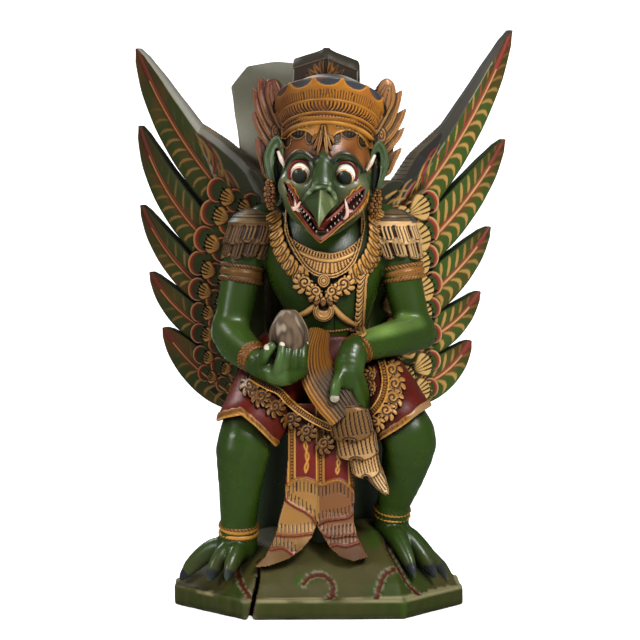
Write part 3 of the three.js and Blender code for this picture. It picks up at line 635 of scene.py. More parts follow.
def feather(piece, side, row, spec):
    """A feather with a fine painted front and a plain back. Its sides are painted near black as a painted
    shade, except on the top feather, which takes its wing's side colour.
    """
    root, tip, width, bow = spec
    colours = WING_PAINTS[side]
    root, tip = np.array(root, float), np.array(tip, float)
    run = tip - root
    length = np.linalg.norm(run)
    rows = round(length / 1.7)
    t = np.linspace(0, 1, rows + 1)
    shares = np.interp(t, np.linspace(0, 1, len(FEATHER_WIDTHS)), FEATHER_WIDTHS)
    shares = np.convolve(np.pad(shares, 6, mode="edge"), np.ones(13) / 13, "valid")
    shares = shares * np.sqrt(np.clip((1.004 - t) / 0.06, 0, 1))
    out = bow * 4 * t * (1 - t)
    spine = root + run * t[:, None] + np.stack([run[1] * out, -run[0] * out], 1)
    along = np.gradient(spine, axis=0)
    along /= np.linalg.norm(along, axis=1)[:, None]
    up = np.stack([-along[:, 1], along[:, 0]], 1)  # towards the upper edge
    half = width * shares
    s = np.linspace(-1, 1, round(2 * width / 1.6) + 1)
    across = half[:, None] * s
    place = spine[:, None] + up[:, None] * across[..., None]
    front = WING_HALF - ROW_STEP * (4 - row)
    back = front - 2 * (ROOT_HALF + (TIP_HALF - ROOT_HALF) * t)
    distance = np.abs(across)
    thin = (1 - 0.65 * t)[:, None]
    lift = front - 1.6 * ramp(distance / width, 0.55, 1.05) + 1.6 * np.exp(-((across + 0.5) / 1.8) ** 2)
    lift -= 0.8 * np.exp(-((across - 3.2) / 1.0) ** 2)
    arc = np.broadcast_to((t * length)[:, None], across.shape)
    stripe = bars(arc, across, length, half[:, None] + 0.1, side, row)
    lift += 0.3 * stripe
    colour = feather_paint(side, row, arc, across, length, thin, stripe)
    # The upper edge shows the board's own side, as a slope that is wide on the top feather.
    reach = [16, 15, 11, 6, 2] if side == RIGHT else [7, 8, 5.5, 3, 1]
    band = np.interp(t, [0, 0.15, 0.5, 0.85, 1], reach if row == 0 else [1, 1, 1, 0.8, 0.5])[:, None]
    deep = band - (half[:, None] - across)
    lift -= 0.9 * np.clip(deep, 0, None)
    # Below the top feather, the edge band and the sides are painted near black: a painted shade.
    plain = colours["side"] if row == 0 else mix(colours["green"], BLACK, 0.6)
    streaks = noise(arc / 30, across / 2, 0, seed=40 + row)
    colour = mix(colour, plain * (1 + 0.25 * streaks[..., None]), ramp(deep, -0.4, 0.5))
    colour = mix(colour, tint("8f8a76"), 0.6 * (np.abs(deep + 0.3) < 0.55) * (streaks > -0.1) * (row == 0))
    points = on_wing(side, place[..., 0], place[..., 1], lift)
    walls = on_wing(side, place[:, [-1, 0], 0], place[:, [-1, 0], 1], np.stack([back, back], 1))
    rings = np.concatenate([points, walls], 1)
    shade = np.concatenate([colour, np.broadcast_to(plain, (rows + 1, 2, 3))], 1)
    piece.add(*lofted(rings), shade.reshape(-1, 3), turned_over=side == LEFT)


# The arms of each wing's board: a line on the wing and its half widths along it.
BOARDS = {
    LEFT: [
        ([(22, 258), (28, 370), (34, 470), (36, 548)], [24, 42, 48, 36]),
        ([(4, 500), (54, 566), (100, 612), (146, 654)], [24, 30, 20, 4]),
    ],
    RIGHT: [
        ([(22, 262), (28, 370), (34, 470), (48, 530)], [24, 42, 48, 36]),
        ([(8, 498), (64, 544), (108, 592), (156, 646)], [14, 14, 17, 3]),
    ],
}
# The outline of the part that the scales cover.
COVERTS = [(0, 262), (60, 244), (92, 262), (108, 300), (104, 520), (84, 552), (0, 556)]
# The middle of each round scale, its radius, and the middle of the hand-shaped tuft beside it.
SCALES = {
    LEFT: [
        ((79, 552), 17, (60, 541)), ((89, 520), 18, (71, 514)), ((101, 482), 18, (85, 474)),
        ((111, 447), 17, (92, 437)), ((112, 410), 16, (98, 407)), ((110, 377), 14, (92, 376)),
        ((110, 347), 14, (93, 345)), ((107, 316), 13, (92, 312)), ((100, 290), 12, (86, 284)),
    ],
    RIGHT: [
        ((104, 535), 17, (86, 526)), ((103, 495), 19, (85, 484)), ((104, 457), 17, (86, 449)),
        ((111, 418), 17, (93, 410)), ((110, 383), 15, (92, 376)), ((112, 346), 15, (94, 340)),
        ((110, 307), 15, (92, 301)), ((107, 268), 14, (90, 266)),
    ],
}


def scale(carving, centre, radius, aim, colours):
    """A round feather: a dark heart in a red crescent in a gold one, which open backwards."""
    x, y = carving.u - centre[0], carving.v - centre[1]
    c, s = math.cos(aim), math.sin(aim)
    along, across = x * c + y * s, (-x * s + y * c) * 0.93
    whole = np.hypot(along, across) - radius
    carving.lay(whole, height=3.4, paint=colours["ring"], on=True)
    red = np.hypot(along + 0.14 * radius, across) - 0.9 * radius
    carving.lay(np.maximum(red, whole), height=2.2, paint=colours["red"])
    heart = np.hypot(along + 0.3 * radius, across) - 0.82 * radius
    carving.lay(np.maximum(heart, whole), height=0.8, paint=colours["green"] * 0.8)
    carving.outline(whole, 0.5, -1.2, UMBER * 0.4)


def tuft(carving, centre, size, aim, colours):
    """A gold tuft with dark notches in its outer edge, like the fingers of a hand."""
    x, y = carving.u - centre[0], carving.v - centre[1]
    c, s = math.cos(aim), math.sin(aim)
    along, across = x * c + y * s, -x * s + y * c
    narrow = 0.62 + 0.38 * ramp(along / size, -0.8, 0.2)
    reach = np.hypot(along / (0.88 * size), across / (size * narrow))
    whole = (reach - 1) * 0.85 * size
    carving.lay(whole, height=3.8, paint=colours["hand"], on=True)
    carving.height += 2.0 * bulge(reach)
    for k in (-1.5, -0.5, 0.5, 1.5):
        lane = 0.36 * size * k
        steps = ((-0.8 * size, lane * 0.35), (-0.05 * size, lane * 0.8), (1.02 * size, lane * 1.15))
        back, near, far = [(centre[0] + a * c - w * s, centre[1] + a * s + w * c) for a, w in steps]
        carving.stroke([near, far], 1.0, rise=-3.0, paint=BLACK * 0.5, count=2, ends=(0.6, 1.3), soft=0.8)
        carving.stroke([back, near], 0.5, rise=-0.7, paint=UMBER * 0.8, count=2, soft=0.8)
    carving.outline(whole, 0.5, -1.2, UMBER * 0.4)


def wing_board(piece, side):
    colours = WING_PAINTS[side]
    carving = Carving((0.5, 168, 236, 682), step=1.15, paint=colours["green"])
    u, v = carving.u, carving.v
    for k, (line, widths) in enumerate(BOARDS[side]):
        d, share = line_distance(u, v, smooth(line, 24))
        edge = d - np.interp(share, np.linspace(0, 1, 4), widths)
        carving.lay(edge, height=0.0, on=True)
        if k:
            sunk = -12.6 * share * ramp(v, 540, 600)
            carving.height = np.where(carving.on & (edge < 0), sunk, carving.height)
            high = (v - 0.86 * u > 440) & (edge < 0)
            carving.blend(colours["board"], 0.9 * ramp(v - 0.8 * u, 452, 500))
            # The edge band takes the wing's side colour, light on the left wing as wear and painted light.
            wide = 9 if side == LEFT else 13
            band = ramp(edge, -wide - 1, -wide + 1) * high
            carving.blend(colours["side"] * (0.75 if side == LEFT else 0.4), band)
            carving.height -= 0.7 * np.clip(edge + wide, 0, None) * high
    carving.lay(inside(u, v, COVERTS), on=True)
    line = smooth(BOARDS[side][1][0], 24)
    for i in range(9):
        start = line[1 + 2 * i] + (8, -16)
        size = 0.7 + 0.4 * math.sin(2.3 * i) ** 2
        flame = [start + np.array(step) * size for step in ((0, 0), (-2, 14), (4, 30), (16, 46), (24, 52))]
        colour = colours["bar"] if i % 3 else colours["red"]
        carving.stroke(flame, 2.4, rise=0.6, paint=colour, ends=(1.2, 0.15))
        carving.stroke(np.array(flame) + (5, -3), 0.8, rise=0.4, paint=colours["rib"] * 0.8, ends=(1, 0.3))
    for i in range(26):
        z = 256 + 11.4 * i
        bar = [(30, z), (46, z + 8), (66, z + 10)]
        carving.stroke(bar, 2.2, rise=0.4, paint=colours["bar"], ends=(1, 0.5))
    ring_aim, hand_aim = (math.radians(a) for a in ((14, 20) if side == LEFT else (30, 24)))
    # Three columns of scales overlap, the outermost on top.
    for back, down, less in ((56, 20, 2), (29, 15, 1), (0, 0, 0)):
        for (x, z), radius, (hand_x, hand_z) in SCALES[side][::-1]:
            radius = radius - less
            scale(carving, (x - back, z - down), radius, ring_aim, colours)
            hand_size = (0.82 if side == LEFT else 1.22) * radius
            tuft(carving, (hand_x - back, hand_z - down), hand_size, hand_aim, colours)
    carving.on &= u > 0.4
    board = carving.sheet(lambda u, v, h: on_wing(side, u, v, WING_HALF + h), floor=-41.5,
                          back=mix(colours["green"], BLACK, 0.4))
    piece.add(*board, turned_over=side == LEFT)


def wing(side, name):
    piece = Piece()
    for row, spec in enumerate(FEATHERS[side]):
        feather(piece, side, row, spec)
    wing_board(piece, side)
    piece.make(name + "_feathers", "wing", name)


# Plinth


SLAB_HALF = (202, 153)  # half the slab's width and depth
# The slab's corners as shares of its half width and half depth.
SLAB_CORNERS = [(-1, 0.3), (-1, -0.16), (-0.52, -1), (0.56, -1), (1, -0.26), (1, 0.34), (0.52, 1), (-0.5, 1)]
# The rock's height, its share of the slab's outline and its drift to the right.
ROCK_LEVELS = [
    (-30, 1, 0), (-2, 1, 0), (20, 0.93, 2), (44, 0.79, 8), (66, 0.62, 15), (83, 0.45, 24), (94, 0.24, 32),
]


def octagon(x, y, inset, share=1.0, drift=0.0):
    """Signed distance to the slab's outline, drawn in by an inset, scaled and moved along X."""
    corners = [(a * (SLAB_HALF[0] - inset), b * (SLAB_HALF[1] - inset)) for a, b in SLAB_CORNERS]
    u, v = (x - drift) / share, y / share
    best = -1e3
    for (ax, ay), (bx, by) in zip(corners, corners[1:] + corners[:1]):
        out = unit((by - ay, ax - bx))
        best = np.maximum(best, (u - ax) * out[0] + (v - ay) * out[1])
    return best * share


def slab_shape():
    def distance(x, y, z):
        rough = 1.2 * noise(x / 23, y / 23, z / 40, seed=3)
        top = z - 1.5 - 1.6 * noise(x / 40, y / 40, 0, seed=5)
        return np.maximum(np.maximum(octagon(x, y, 1.5) + rough, top), -SLAB + 0.2 - z)

    half_width, half_depth = SLAB_HALF
    return distance, np.array([-half_width, -half_depth, -SLAB]), np.array([half_width, half_depth, 4])


def rock_shape():
    levels = np.array(ROCK_LEVELS, float)

    def distance(x, y, z):
        share = np.interp(z, levels[:, 0], levels[:, 1])
        drift = np.interp(z, levels[:, 0], levels[:, 2])
        rough = 2.2 * noise(x / 30, y / 30, z / 30, seed=8)
        return np.maximum(0.8 * octagon(x, y, 7, share, drift) + rough, z - 94)

    half_width, half_depth = SLAB_HALF
    return distance, np.array([-half_width, -half_depth, -10]), np.array([half_width, half_depth, 96])


# The painted vine's curls on the rock's front, as x and z, and the crack down its left part.
SWIRLS = [
    [(-80, 64), (-97, 63), (-107, 54), (-113, 38), (-110, 22), (-96, 4)],
    [(-24, 21), (-18, 28), (-6, 32), (4, 31), (13, 24), (16, 14), (13, 4), (7, -1)],
    [(74, 2), (79, 18), (85, 31), (93, 36), (101, 37)],
    [(112, 77), (101, 77), (93, 70), (94, 60), (103, 44), (118, 18), (134, 0)],
]
CRACK = [(-84, -104, 52), (-85, -126, 26), (-91, -142, 2), (-98, -150, -32)]


def plinth():
    clay = Clay((-206, -157, -30), (206, 157, 100), step=3.5)
    clay.add(rock_shape())
    front = clay.front()
    lines = []
    for swirl in SWIRLS:
        line = smooth(swirl, 24)
        deep = front(line[:, 0], np.clip(line[:, 1], 2, None))
        lines.append(np.stack([line[:, 0], deep, line[:, 1]], 1))
    clay.add(slab_shape(), blend=2)
    for line in lines:
        clay.add(rod(line[::3], [1.6, 3.0, 3.4, 3.0, 1.6], count=12), blend=3, cut=True)
    clay.add(rod(CRACK, [(0.6, 10), (2.2, 22), (2.4, 26), (2.4, 28)], count=10), cut=True)
    points, faces = clay.skin()
    x, y, z = points.T
    paint = mix(EARTH, OLIVE, 0.5 + 0.5 * noise(x / 26, y / 26, z / 26, seed=2))
    paint = mix(paint, GREEN * 0.8, 0.75 * ramp(noise(x / 34, y / 34, z / 20, seed=11), 0.1, 0.5))
    paint = mix(paint, EARTH * 1.25, 0.5 * ramp(noise(x / 9, y / 9, z / 12, seed=12), 0.15, 0.6))
    slab = z < 1
    streaks = noise(x / 3, y / 3, z / 60, seed=6)
    paint = mix(paint, mix(OLIVE * 0.9, GREEN * 0.75, 0.5 + 0.5 * streaks), 0.75 * slab)
    worn = ramp(noise(x / 14, y / 14, z / 3, seed=13) + x / 300, -0.5, 0.3)
    paint = mix(paint, tint("8a8260"), 0.7 * worn * ((z > -3.5) & (z < 4) & (octagon(x, y, 6) > -3)))
    for cx, cz, rx, rz in ((72, 74, 12, 14), (-26, 24, 13, 9), (104, 52, 7, 22), (111, -12, 6, 16)):
        patch = ((x - cx) / rx) ** 2 + ((z - cz) / rz) ** 2
        paint = mix(paint, GREEN * 1.15, (1 - ramp(patch, 0.5, 1.2)) * (y < -20) * 0.8)
    for line in lines:
        near = np.full(len(points), 1e3)
        for a, b in zip(line, line[1:]):
            t = np.clip(((points - a) @ (b - a)) / ((b - a) @ (b - a)), 0, 1)
            near = np.minimum(near, np.linalg.norm(points - a - t[:, None] * (b - a), axis=1))
        paint = mix(paint, tint("84846a"), 0.45 * (1 - ramp(np.abs(near - 4.4), 0.5, 1.2)))
        paint = mix(paint, tint("48140e"), 0.9 * (1 - ramp(near, 2.8, 4.0)))
    crack = np.abs(x - np.interp(z, [-32, 2, 26, 52], [-98, -91, -85, -84])) < 3.4
    paint = mix(paint, UMBER * 0.6, crack & (y < -90) & (z < 52))
    whole_piece("plinth_rock", "rock", points, faces, paint)


# Body


# Rings of the trunk from the seat to the neck: height, middle x and y, half width and half depth.
TORSO = [
    (228, 5, 26, 84, 56), (268, 6, 20, 96, 68), (300, 8, 16, 88, 66), (330, 14, 10, 62, 52),
    (350, 19, 6, 50, 44), (384, 15, 6, 62, 50), (424, 10, 6, 78, 58), (462, 8, 4, 86, 58),
    (492, 8, 4, 82, 50), (514, 8, 0, 62, 44), (532, 9, -6, 46, 42), (560, 9, -14, 40, 38),
]
# Each leg from below the knee to the ankle, and its radii along that line.
SHINS = {
    LEFT: [(-99, -84, 232), (-104, -92, 205), (-109, -84, 148), (-111, -70, 101), (-112, -60, 60)],
    RIGHT: [(108, -82, 237), (121, -92, 214), (114, -78, 166), (103, -58, 122), (99, -42, 82)],
}
GIRTHS = {LEFT: [34, 37, 29, 25, 27], RIGHT: [37, 37, 30, 23, 25]}
# Each toe from the ankle over its knuckle to the tip of its claw.
TOES = {
    LEFT: [
        [(-114, -62, 62), (-148, -58, 56), (-177, -50, 32), (-193, -36, 11)],
        [(-112, -66, 60), (-131, -82, 54), (-145, -92, 34), (-152, -94, 19)],
        [(-106, -68, 60), (-115, -92, 54), (-123, -108, 38), (-128, -116, 23)],
        [(-114, -56, 56), (-128, -26, 50), (-138, -4, 34), (-143, 6, 20)],
    ],
    RIGHT: [
        [(100, -42, 84), (129, -44, 66), (157, -48, 37), (179, -52, 11)],
        [(95, -50, 83), (121, -68, 70), (145, -84, 42), (160, -92, 20)],
        [(93, -50, 82), (107, -80, 71), (120, -104, 47), (128, -118, 25)],
        [(100, -36, 82), (120, -8, 64), (138, 12, 40), (148, 22, 22)],
    ],
}
# Each arm: the upper arm from the shoulder, and the forearm from the elbow.
ARMS = {
    LEFT: ([(-74, 8, 503), (-98, 8, 470), (-109, 4, 420), (-122, -4, 352)],
           [(-124, 0, 358), (-112, -34, 338), (-85, -82, 318)]),
    RIGHT: ([(90, 8, 503), (112, 8, 469), (120, 4, 419), (136, -2, 352)],
            [(140, 2, 353), (101, -48, 346), (53, -90, 337)]),
}
ELBOWS = {
    LEFT: [(-118, 0, 356), (-132, 2, 350), (-141, 3, 345)],
    RIGHT: [(132, 0, 350), (146, 1, 344), (155, 2, 339)],
}
THIGHS = {
    LEFT: [(-34, 20, 298), (-67, -42, 271), (-93, -94, 235)],
    RIGHT: [(41, 20, 298), (80, -40, 273), (109, -92, 241)],
}


def stack(rings):
    """A body of stacked ellipses: height, middle x and y, half width and half depth."""
    r = smooth(rings, 80)

    def distance(x, y, z):
        cx, cy, w, d = (np.interp(z, r[:, 0], r[:, k]) for k in range(1, 5))
        across = (np.sqrt(((x - cx) / w) ** 2 + ((y - cy) / d) ** 2) - 1) * np.minimum(w, d)
        return np.maximum(across, np.maximum(r[0, 0] - z, z - r[-1, 0]))

    reach = r[:, 3:5].max(axis=0)
    middle = r[:, 1:3]
    low, high = middle.min(axis=0) - reach, middle.max(axis=0) + reach
    return distance, np.array([*low, r[0, 0]]), np.array([*high, r[-1, 0]])


def skin_paint(points, base=GREEN, seed=20):
    x, y, z = points.T
    paint = mix(base, DEEP_GREEN, 0.35 + 0.3 * noise(x / 45, y / 45, z / 45, seed=seed))
    return mix(paint, base * 1.5, 0.3 * ramp(noise(x / 12, y / 12, z / 30, seed=seed + 1), 0.3, 0.8))


def trunk_clay():
    clay = Clay((-160, -132, 20), (172, 92, 552), step=3.8)
    clay.add(stack(TORSO))
    for side in (LEFT, RIGHT):
        upper, lower = ARMS[side]
        clay.add(rod(upper, [30, 29, 26.5, 24], power=2.4), blend=6)
        clay.add(rod(lower, [25, 24, 19], thin=(0, 0, 1), power=2.8), blend=5)
        clay.add(rod(ELBOWS[side], [21, 13, 4], thin=(0, 1, 0), count=6, power=3.0), blend=5)
        clay.add(rod(SHINS[side], GIRTHS[side], power=2.4), blend=6)
    stump = rod([(4, 26, 30), (3, 26, 150), (5, 22, 262)], [(92, 56), (93, 56), (98, 56)], count=6)
    belly = rod([(2, -20, 60), (4, -30, 150), (6, -30, 250)], [(46, 66), (40, 60), (40, 56)], count=8)
    clay.add(stump, blend=10)
    clay.add(belly, blend=24)
    return clay


def limbs():
    clay = trunk_clay()
    points, faces = clay.skin()
    x, y, z = points.T
    paint = skin_paint(points)
    # The stump between the legs is painted darker, a painted shade. Both forearms are painted paler on top,
    # the right one much more, as rubbed paint and as a painted highlight.
    stump = (np.abs(x - 4) < 92) & (z < 262) & ~((np.abs(x) > 62) & (y < -20))
    paint = mix(paint, tint("1a270b"), 0.9 * stump)
    for side in (LEFT, RIGHT):
        elbow, _, wrist = (np.array(p, float) for p in ARMS[side][1])
        t = np.clip(((points - elbow) @ (wrist - elbow)) / ((wrist - elbow) @ (wrist - elbow)), 0, 1)
        away = points - (elbow + t[:, None] * (wrist - elbow))
        near = ramp(np.linalg.norm(away, axis=1), 36, 28) * ramp(t, 0.02, 0.3) * ramp(away[:, 2], 6, 18)
        patchy = 0.65 + 0.35 * noise(x / 9, y / 9, z / 9, seed=23)
        paint = mix(paint, tint("7fa050"), near * patchy * (0.12 if side == LEFT else 0.7))
    # The left arm's outer edge, as seen from the front, is painted pale in patches: a painted rim highlight.
    row = np.clip(((z - 300) / 4).astype(int), 0, 29)
    arm = (x < -80) & (z > 304) & (z < 410)
    outer = np.zeros(30)
    np.minimum.at(outer, row[arm], x[arm])
    worn = ramp(noise(x / 9, y / 9, z / 16, seed=84), -0.5, 0.1)
    paint = mix(paint, tint("8a947c"), 0.6 * worn * (arm & (x < outer[row] + 1.5)))
    piece = Piece()
    piece.add(points, faces, paint)
    # A drying crack runs down the belly, drawn as a thin near-black tube on the skin: the crack's painted
    # shade.
    front = clay.front()
    crack = np.array([(17, 464), (17.5, 440), (19, 410), (20.5, 385), (22, 358)], float)
    crack = np.stack([crack[:, 0], front(crack[:, 0], crack[:, 1]) + 0.2, crack[:, 1]], 1)
    points, faces = tube(crack, [0.5, 0.9, 0.8, 0.9, 0.5], count=40, sides=8)
    piece.add(points, faces, BLACK * 0.3)
    piece.make("green_body", "skin")
    return clay


FOOT_BOXES = {LEFT: ((-200, -135, 4), (-84, 32, 112)), RIGHT: ((76, -135, 4), (192, 46, 128))}


def feet():
    piece = Piece()
    for side in (LEFT, RIGHT):
        shin = SHINS[side]
        clay = Clay(*FOOT_BOXES[side], step=2.5)
        clay.add(rod([shin[-2], shin[-1]], GIRTHS[side][-2:], count=3))
        for toe in TOES[side]:
            body = [*toe[:3], tuple(0.55 * np.array(toe[2]) + 0.45 * np.array(toe[3]))]
            clay.add(rod(body, [15, (12, 15), (9.5, 12), (6, 8)], thin=(0, 0, 1)), blend=5)
            start = 0.8 * np.array(toe[2]) + 0.2 * np.array(toe[3])
            clay.add(rod([start, 0.4 * start + 0.6 * np.array(toe[3]), toe[3]], [(6.5, 9), (5, 7), (1.4, 2)],
                         thin=(0, 0, 1)), blend=1)
        points, faces = clay.skin()
        paint = skin_paint(points, seed=30)
        paint = mix(paint, EARTH, 0.45 * ramp(points[:, 2], 70, 35))
        for toe in TOES[side]:
            nail = 0.72 * np.array(toe[2]) + 0.28 * np.array(toe[3])
            along = unit(np.array(toe[3]) - nail)
            near = np.linalg.norm(points - toe[3], axis=1) < 34
            paint = mix(paint, SLATE * 0.35, ramp((points - nail) @ along, -1.2, 1.2) * near)
        piece.add(points, faces, paint)
    piece.make("feet", "skin")


def hands():
    piece = Piece()
    left = Clay((-112, -142, 276), (-6, -58, 352), step=1.7)
    left.add(rod([(-92, -76, 319), (-77, -96, 309), (-48, -112, 302), (-29, -108, 308)],
                 [(17, 16), (19, 17), (18, 16), (13, 12)], thin=(0, 0, 1)))
    for i in range(4):
        left.add(rod([(-62 + 12 * i, -112 + 1.5 * i, 296 + 3 * i), (-58 + 11 * i, -128 + 2 * i, 312 + 3 * i),
                      (-54 + 10 * i, -130 + 4 * i, 329 + 2 * i), (-52 + 10 * i, -125 + 4 * i, 343)],
                     [7.6, 7.2, 6.4, 5.6]), blend=2.2)
    left.add(rod([(-84, -98, 312), (-79, -112, 320), (-75, -124, 330), (-67, -127, 341)],
                 [9.5, 9, 7.5, 6.5]), blend=4)
    right = Clay((6, -145, 240), (84, -58, 362), step=1.7)
    right.add(rod([(60, -84, 339), (46, -102, 333), (38, -116, 306), (38, -118, 291)],
                  [18, (20, 17), (20, 13), (17, 11)]))
    right.add(rod([(28, -112, 318), (27, -122, 304), (20, -129, 288), (18, -131, 274)],
                  [8, 8.5, 7.6, 6.6]), blend=4)
    for i in range(3):
        right.add(rod([(44 + 4 * i, -118 + 5 * i, 300), (50 + 4 * i, -122 + 6 * i, 278),
                       (58 + 3 * i, -119 + 6 * i, 254 - 3 * i)], [8, 7.5, 5]), blend=2.5)
    for clay in (left, right):
        points, faces = clay.skin()
        paint = skin_paint(points, seed=40)
        paint = mix(paint, FACE_GREEN, 0.3 * ramp(noise(*(points / 14).T, seed=41), 0.0, 0.6))
        piece.add(points, faces, paint)
    piece.make("hands", "skin")
    broken = Piece()
    tips = [((-71, -128, 339), 6.2), ((-52, -128, 344), 4.6), ((-41, -124, 345), 5), ((-32, -119, 345), 5),
            ((-21, -114, 344), 4.5), ((18, -133, 272), 6.4)]
    for place, size in tips:
        clay = Clay(np.array(place) - 12, np.array(place) + 12, step=1.1)
        clay.add(ball(place, (size, size * 0.8, size)))
        points, faces = clay.skin()
        points = points + 0.5 * noise(*(points / 2.4).T, seed=44)[:, None]
        broken.add(points, faces, mix(BONE * 0.8, EARTH, 0.5 + 0.5 * noise(*(points / 3).T, seed=45)))
    broken.make("broken_tips", "wood")


JAR_PLACE = (-43, -104, 356)
# The radius and the height of the jar, from under its foot over its lid.
JAR_PROFILE = [(2, -36), (17, -32), (27, -12), (26, 6), (19, 22), (13, 30), (9, 33), (1, 32.5)]


def jar():
    piece = Piece()
    profile = smooth(JAR_PROFILE, 48)
    turns = circle(80)
    radius, height = (column[:, None] + 0 * turns for column in profile.T)
    radius = radius * (1 + 0.02 * noise(np.cos(turns) * 3, np.sin(turns) * 3, height / 12, seed=50))
    x, y, z = JAR_PLACE
    rings = np.stack([x + radius * np.cos(turns), y + radius * np.sin(turns), z + height], -1)
    points, faces = lofted(rings)
    x, y, z = points.T
    streaks = noise(x / 2.2, y / 2.2, z / 26, seed=51) + 0.6 * noise(x / 6, y / 6, z / 9, seed=52)
    paint = mix(tint("5a4a3a"), tint("2e241c"), ramp(streaks, -0.5, 0.5))
    # Pale streaks grow towards the top, as streaked paint and as a painted highlight.
    paint = mix(paint, tint("8a7c6c"), 0.8 * ramp(streaks + (z - 352) / 40, 0.5, 1.1))
    piece.add(points, faces, paint, turned_over=True)
    piece.make("jar", "wood")


# The hem's height over each knee: x and z along its front.
HEMS = {
    LEFT: [(-150, 238), (-131, 245), (-107, 249), (-88, 233), (-64, 209), (-48, 198)],
    RIGHT: [(58, 200), (78, 213), (108, 232), (135, 252), (152, 262)],
}


def over_hem(side, x, y, z):
    """Height above the hem, which hangs lower behind the knee's front."""
    line = np.array(HEMS[side], float)
    return z - np.interp(x, line[:, 0], line[:, 1]) + 0.12 * (y + 118)


def leg_cloth(clay, side, more):
    """The cloth over one thigh and knee, thicker by some millimetres."""
    knee, shin = THIGHS[side][-1], SHINS[side]
    thigh_sizes = [68 + more, 53 + more, (46 + more, 43 + more)]
    shin_sizes = [(40 + more, 40 + more), (38 + more, 41 + more), (38 + more, 42 + more)]
    clay.add(rod(THIGHS[side], thigh_sizes, thin=(0, 0, 1), count=10), blend=8)
    clay.add(rod([knee, shin[0], shin[1]], shin_sizes, count=6), blend=8)


def skirt():
    clay = Clay((-158, -142, 176), (170, 92, 352), step=3.6)
    clay.add(stack([(z, x, y, w + 1.5, d + 1.5) for z, x, y, w, d in TORSO[:5]]))
    for side in (LEFT, RIGHT):
        leg_cloth(clay, side, 0)
        low, high = ((-170, -150, 170), (-30, 20, 300)) if side == LEFT else ((30, -150, 170), (180, 20, 300))
        clay.add((partial(over_hem, side), np.array(low), np.array(high)), cut=True)
    points, faces = clay.skin()
    x, y, z = points.T
    paint = mix(RED, RED * 0.5, 0.5 + 0.5 * noise(x / 20, y / 20, z / 20, seed=61))
    paint = mix(paint, BRICK, 0.35 * ramp(noise(x / 7, y / 9, z / 9, seed=62), 0.2, 0.7))
    across = np.where(x < 5, x + 0.9 * z, x - 0.9 * z) + 1.5 * noise(x / 18, y / 18, z / 18, seed=63)
    paint = mix(paint, UMBER * 0.5, 0.6 * (saw(across / 5.5) < 0.14))
    whole_piece("skirt", "cloth", points, faces, paint)
    return clay


# Head, in its own frame with the origin between the ears


def turned(x, y, z):
    """The rotation by degrees about X, Y and Z, in that order."""
    a, b, c = np.radians([x, y, z])
    about_x = np.array([[1, 0, 0], [0, math.cos(a), -math.sin(a)], [0, math.sin(a), math.cos(a)]])
    about_y = np.array([[math.cos(b), 0, math.sin(b)], [0, 1, 0], [-math.sin(b), 0, math.cos(b)]])
    about_z = np.array([[math.cos(c), -math.sin(c), 0], [math.sin(c), math.cos(c), 0], [0, 0, 1]])
    return about_x @ about_y @ about_z


HEAD_TURN = turned(-3, 2.5, -5)
HEAD_PLACE = np.array([10.0, -50.0, 563.0])
# Rings of the head from the throat to the crown: height, middle x and y, half width and half depth.
HEAD = [
    (-64, 0, -14, 30, 26), (-40, 0, -12, 54, 44), (-8, 0, -8, 62, 52), (30, 0, 0, 61, 58), (66, 0, 4, 57, 56),
    (96, 0, 6, 62, 61), (108, 0, 6, 50, 50), (112, 0, 6, 20, 20),
]
EYES = {LEFT: (-33, 7), RIGHT: (28, 7.5)}


def from_head(points):
    return np.asarray(points) @ HEAD_TURN.T + HEAD_PLACE


def head_clay():
    clay = Clay((-78, -120, -98), (78, 80, 158), step=1.85)
    clay.add(stack(HEAD))
    jaw = rod([(0, -20, -50), (0, -52, -66), (0, -84, -80)], [(42, 18), (28, 10), (6, 4)], thin=(0, 0, 1))
    clay.add(jaw, blend=6)
    for side in (LEFT, RIGHT):
        clay.add(ball((side * 40 - 2, -34, -10), (22, 20, 22)), blend=8)
    return clay


BROWS = {
    LEFT: [(-8, -62, 30), (-16, -62, 25), (-22, -62, 30), (-29, -62, 34), (-36, -60, 34.5),
           (-43, -55, 31), (-50, -48, 24), (-55, -40, 14)],
    RIGHT: [(4, -62, 30), (10, -62, 25), (15, -62, 30), (22, -61, 34), (29, -60, 34), (36, -58, 32),
            (44, -54, 25), (52, -44, 13)],
}
MOUTH = [
    (-55, -6), (-44, -14), (-35, -26), (-28, -37), (-14, -48), (-4, -54), (2, -54), (14, -44), (22, -34),
    (34, -22), (54, -10), (51, -28), (43, -38), (31, -50), (20, -61), (8, -73), (-1, -79), (-8, -71),
    (-18, -60), (-30, -46), (-42, -32), (-50, -18),
]


# The arch round each nostril.
NOSTRILS = [
    [(-3, -82, -12), (-12, -82, -15), (-19, -78, -22), (-25, -73, -30), (-27, -70, -38)],
    [(-1, -82, -12), (8, -82, -14), (14, -79, -21), (18, -75, -29), (21, -71, -36)],
]
# The bill from its root to its tip: height, half width, and how far forward its edges and its ridge are.
BILL = [
    (-12, 8, 74, 77), (-18, 15, 75, 83), (-24, 20, 75, 88), (-30, 23, 75, 92), (-34, 22, 77, 94),
    (-38, 18.5, 81, 96), (-43, 14, 86, 98), (-48, 10.2, 90, 100), (-54, 6.6, 94, 101),
    (-60, 3.4, 97, 100.5), (-67, 0.5, 98, 99),
]


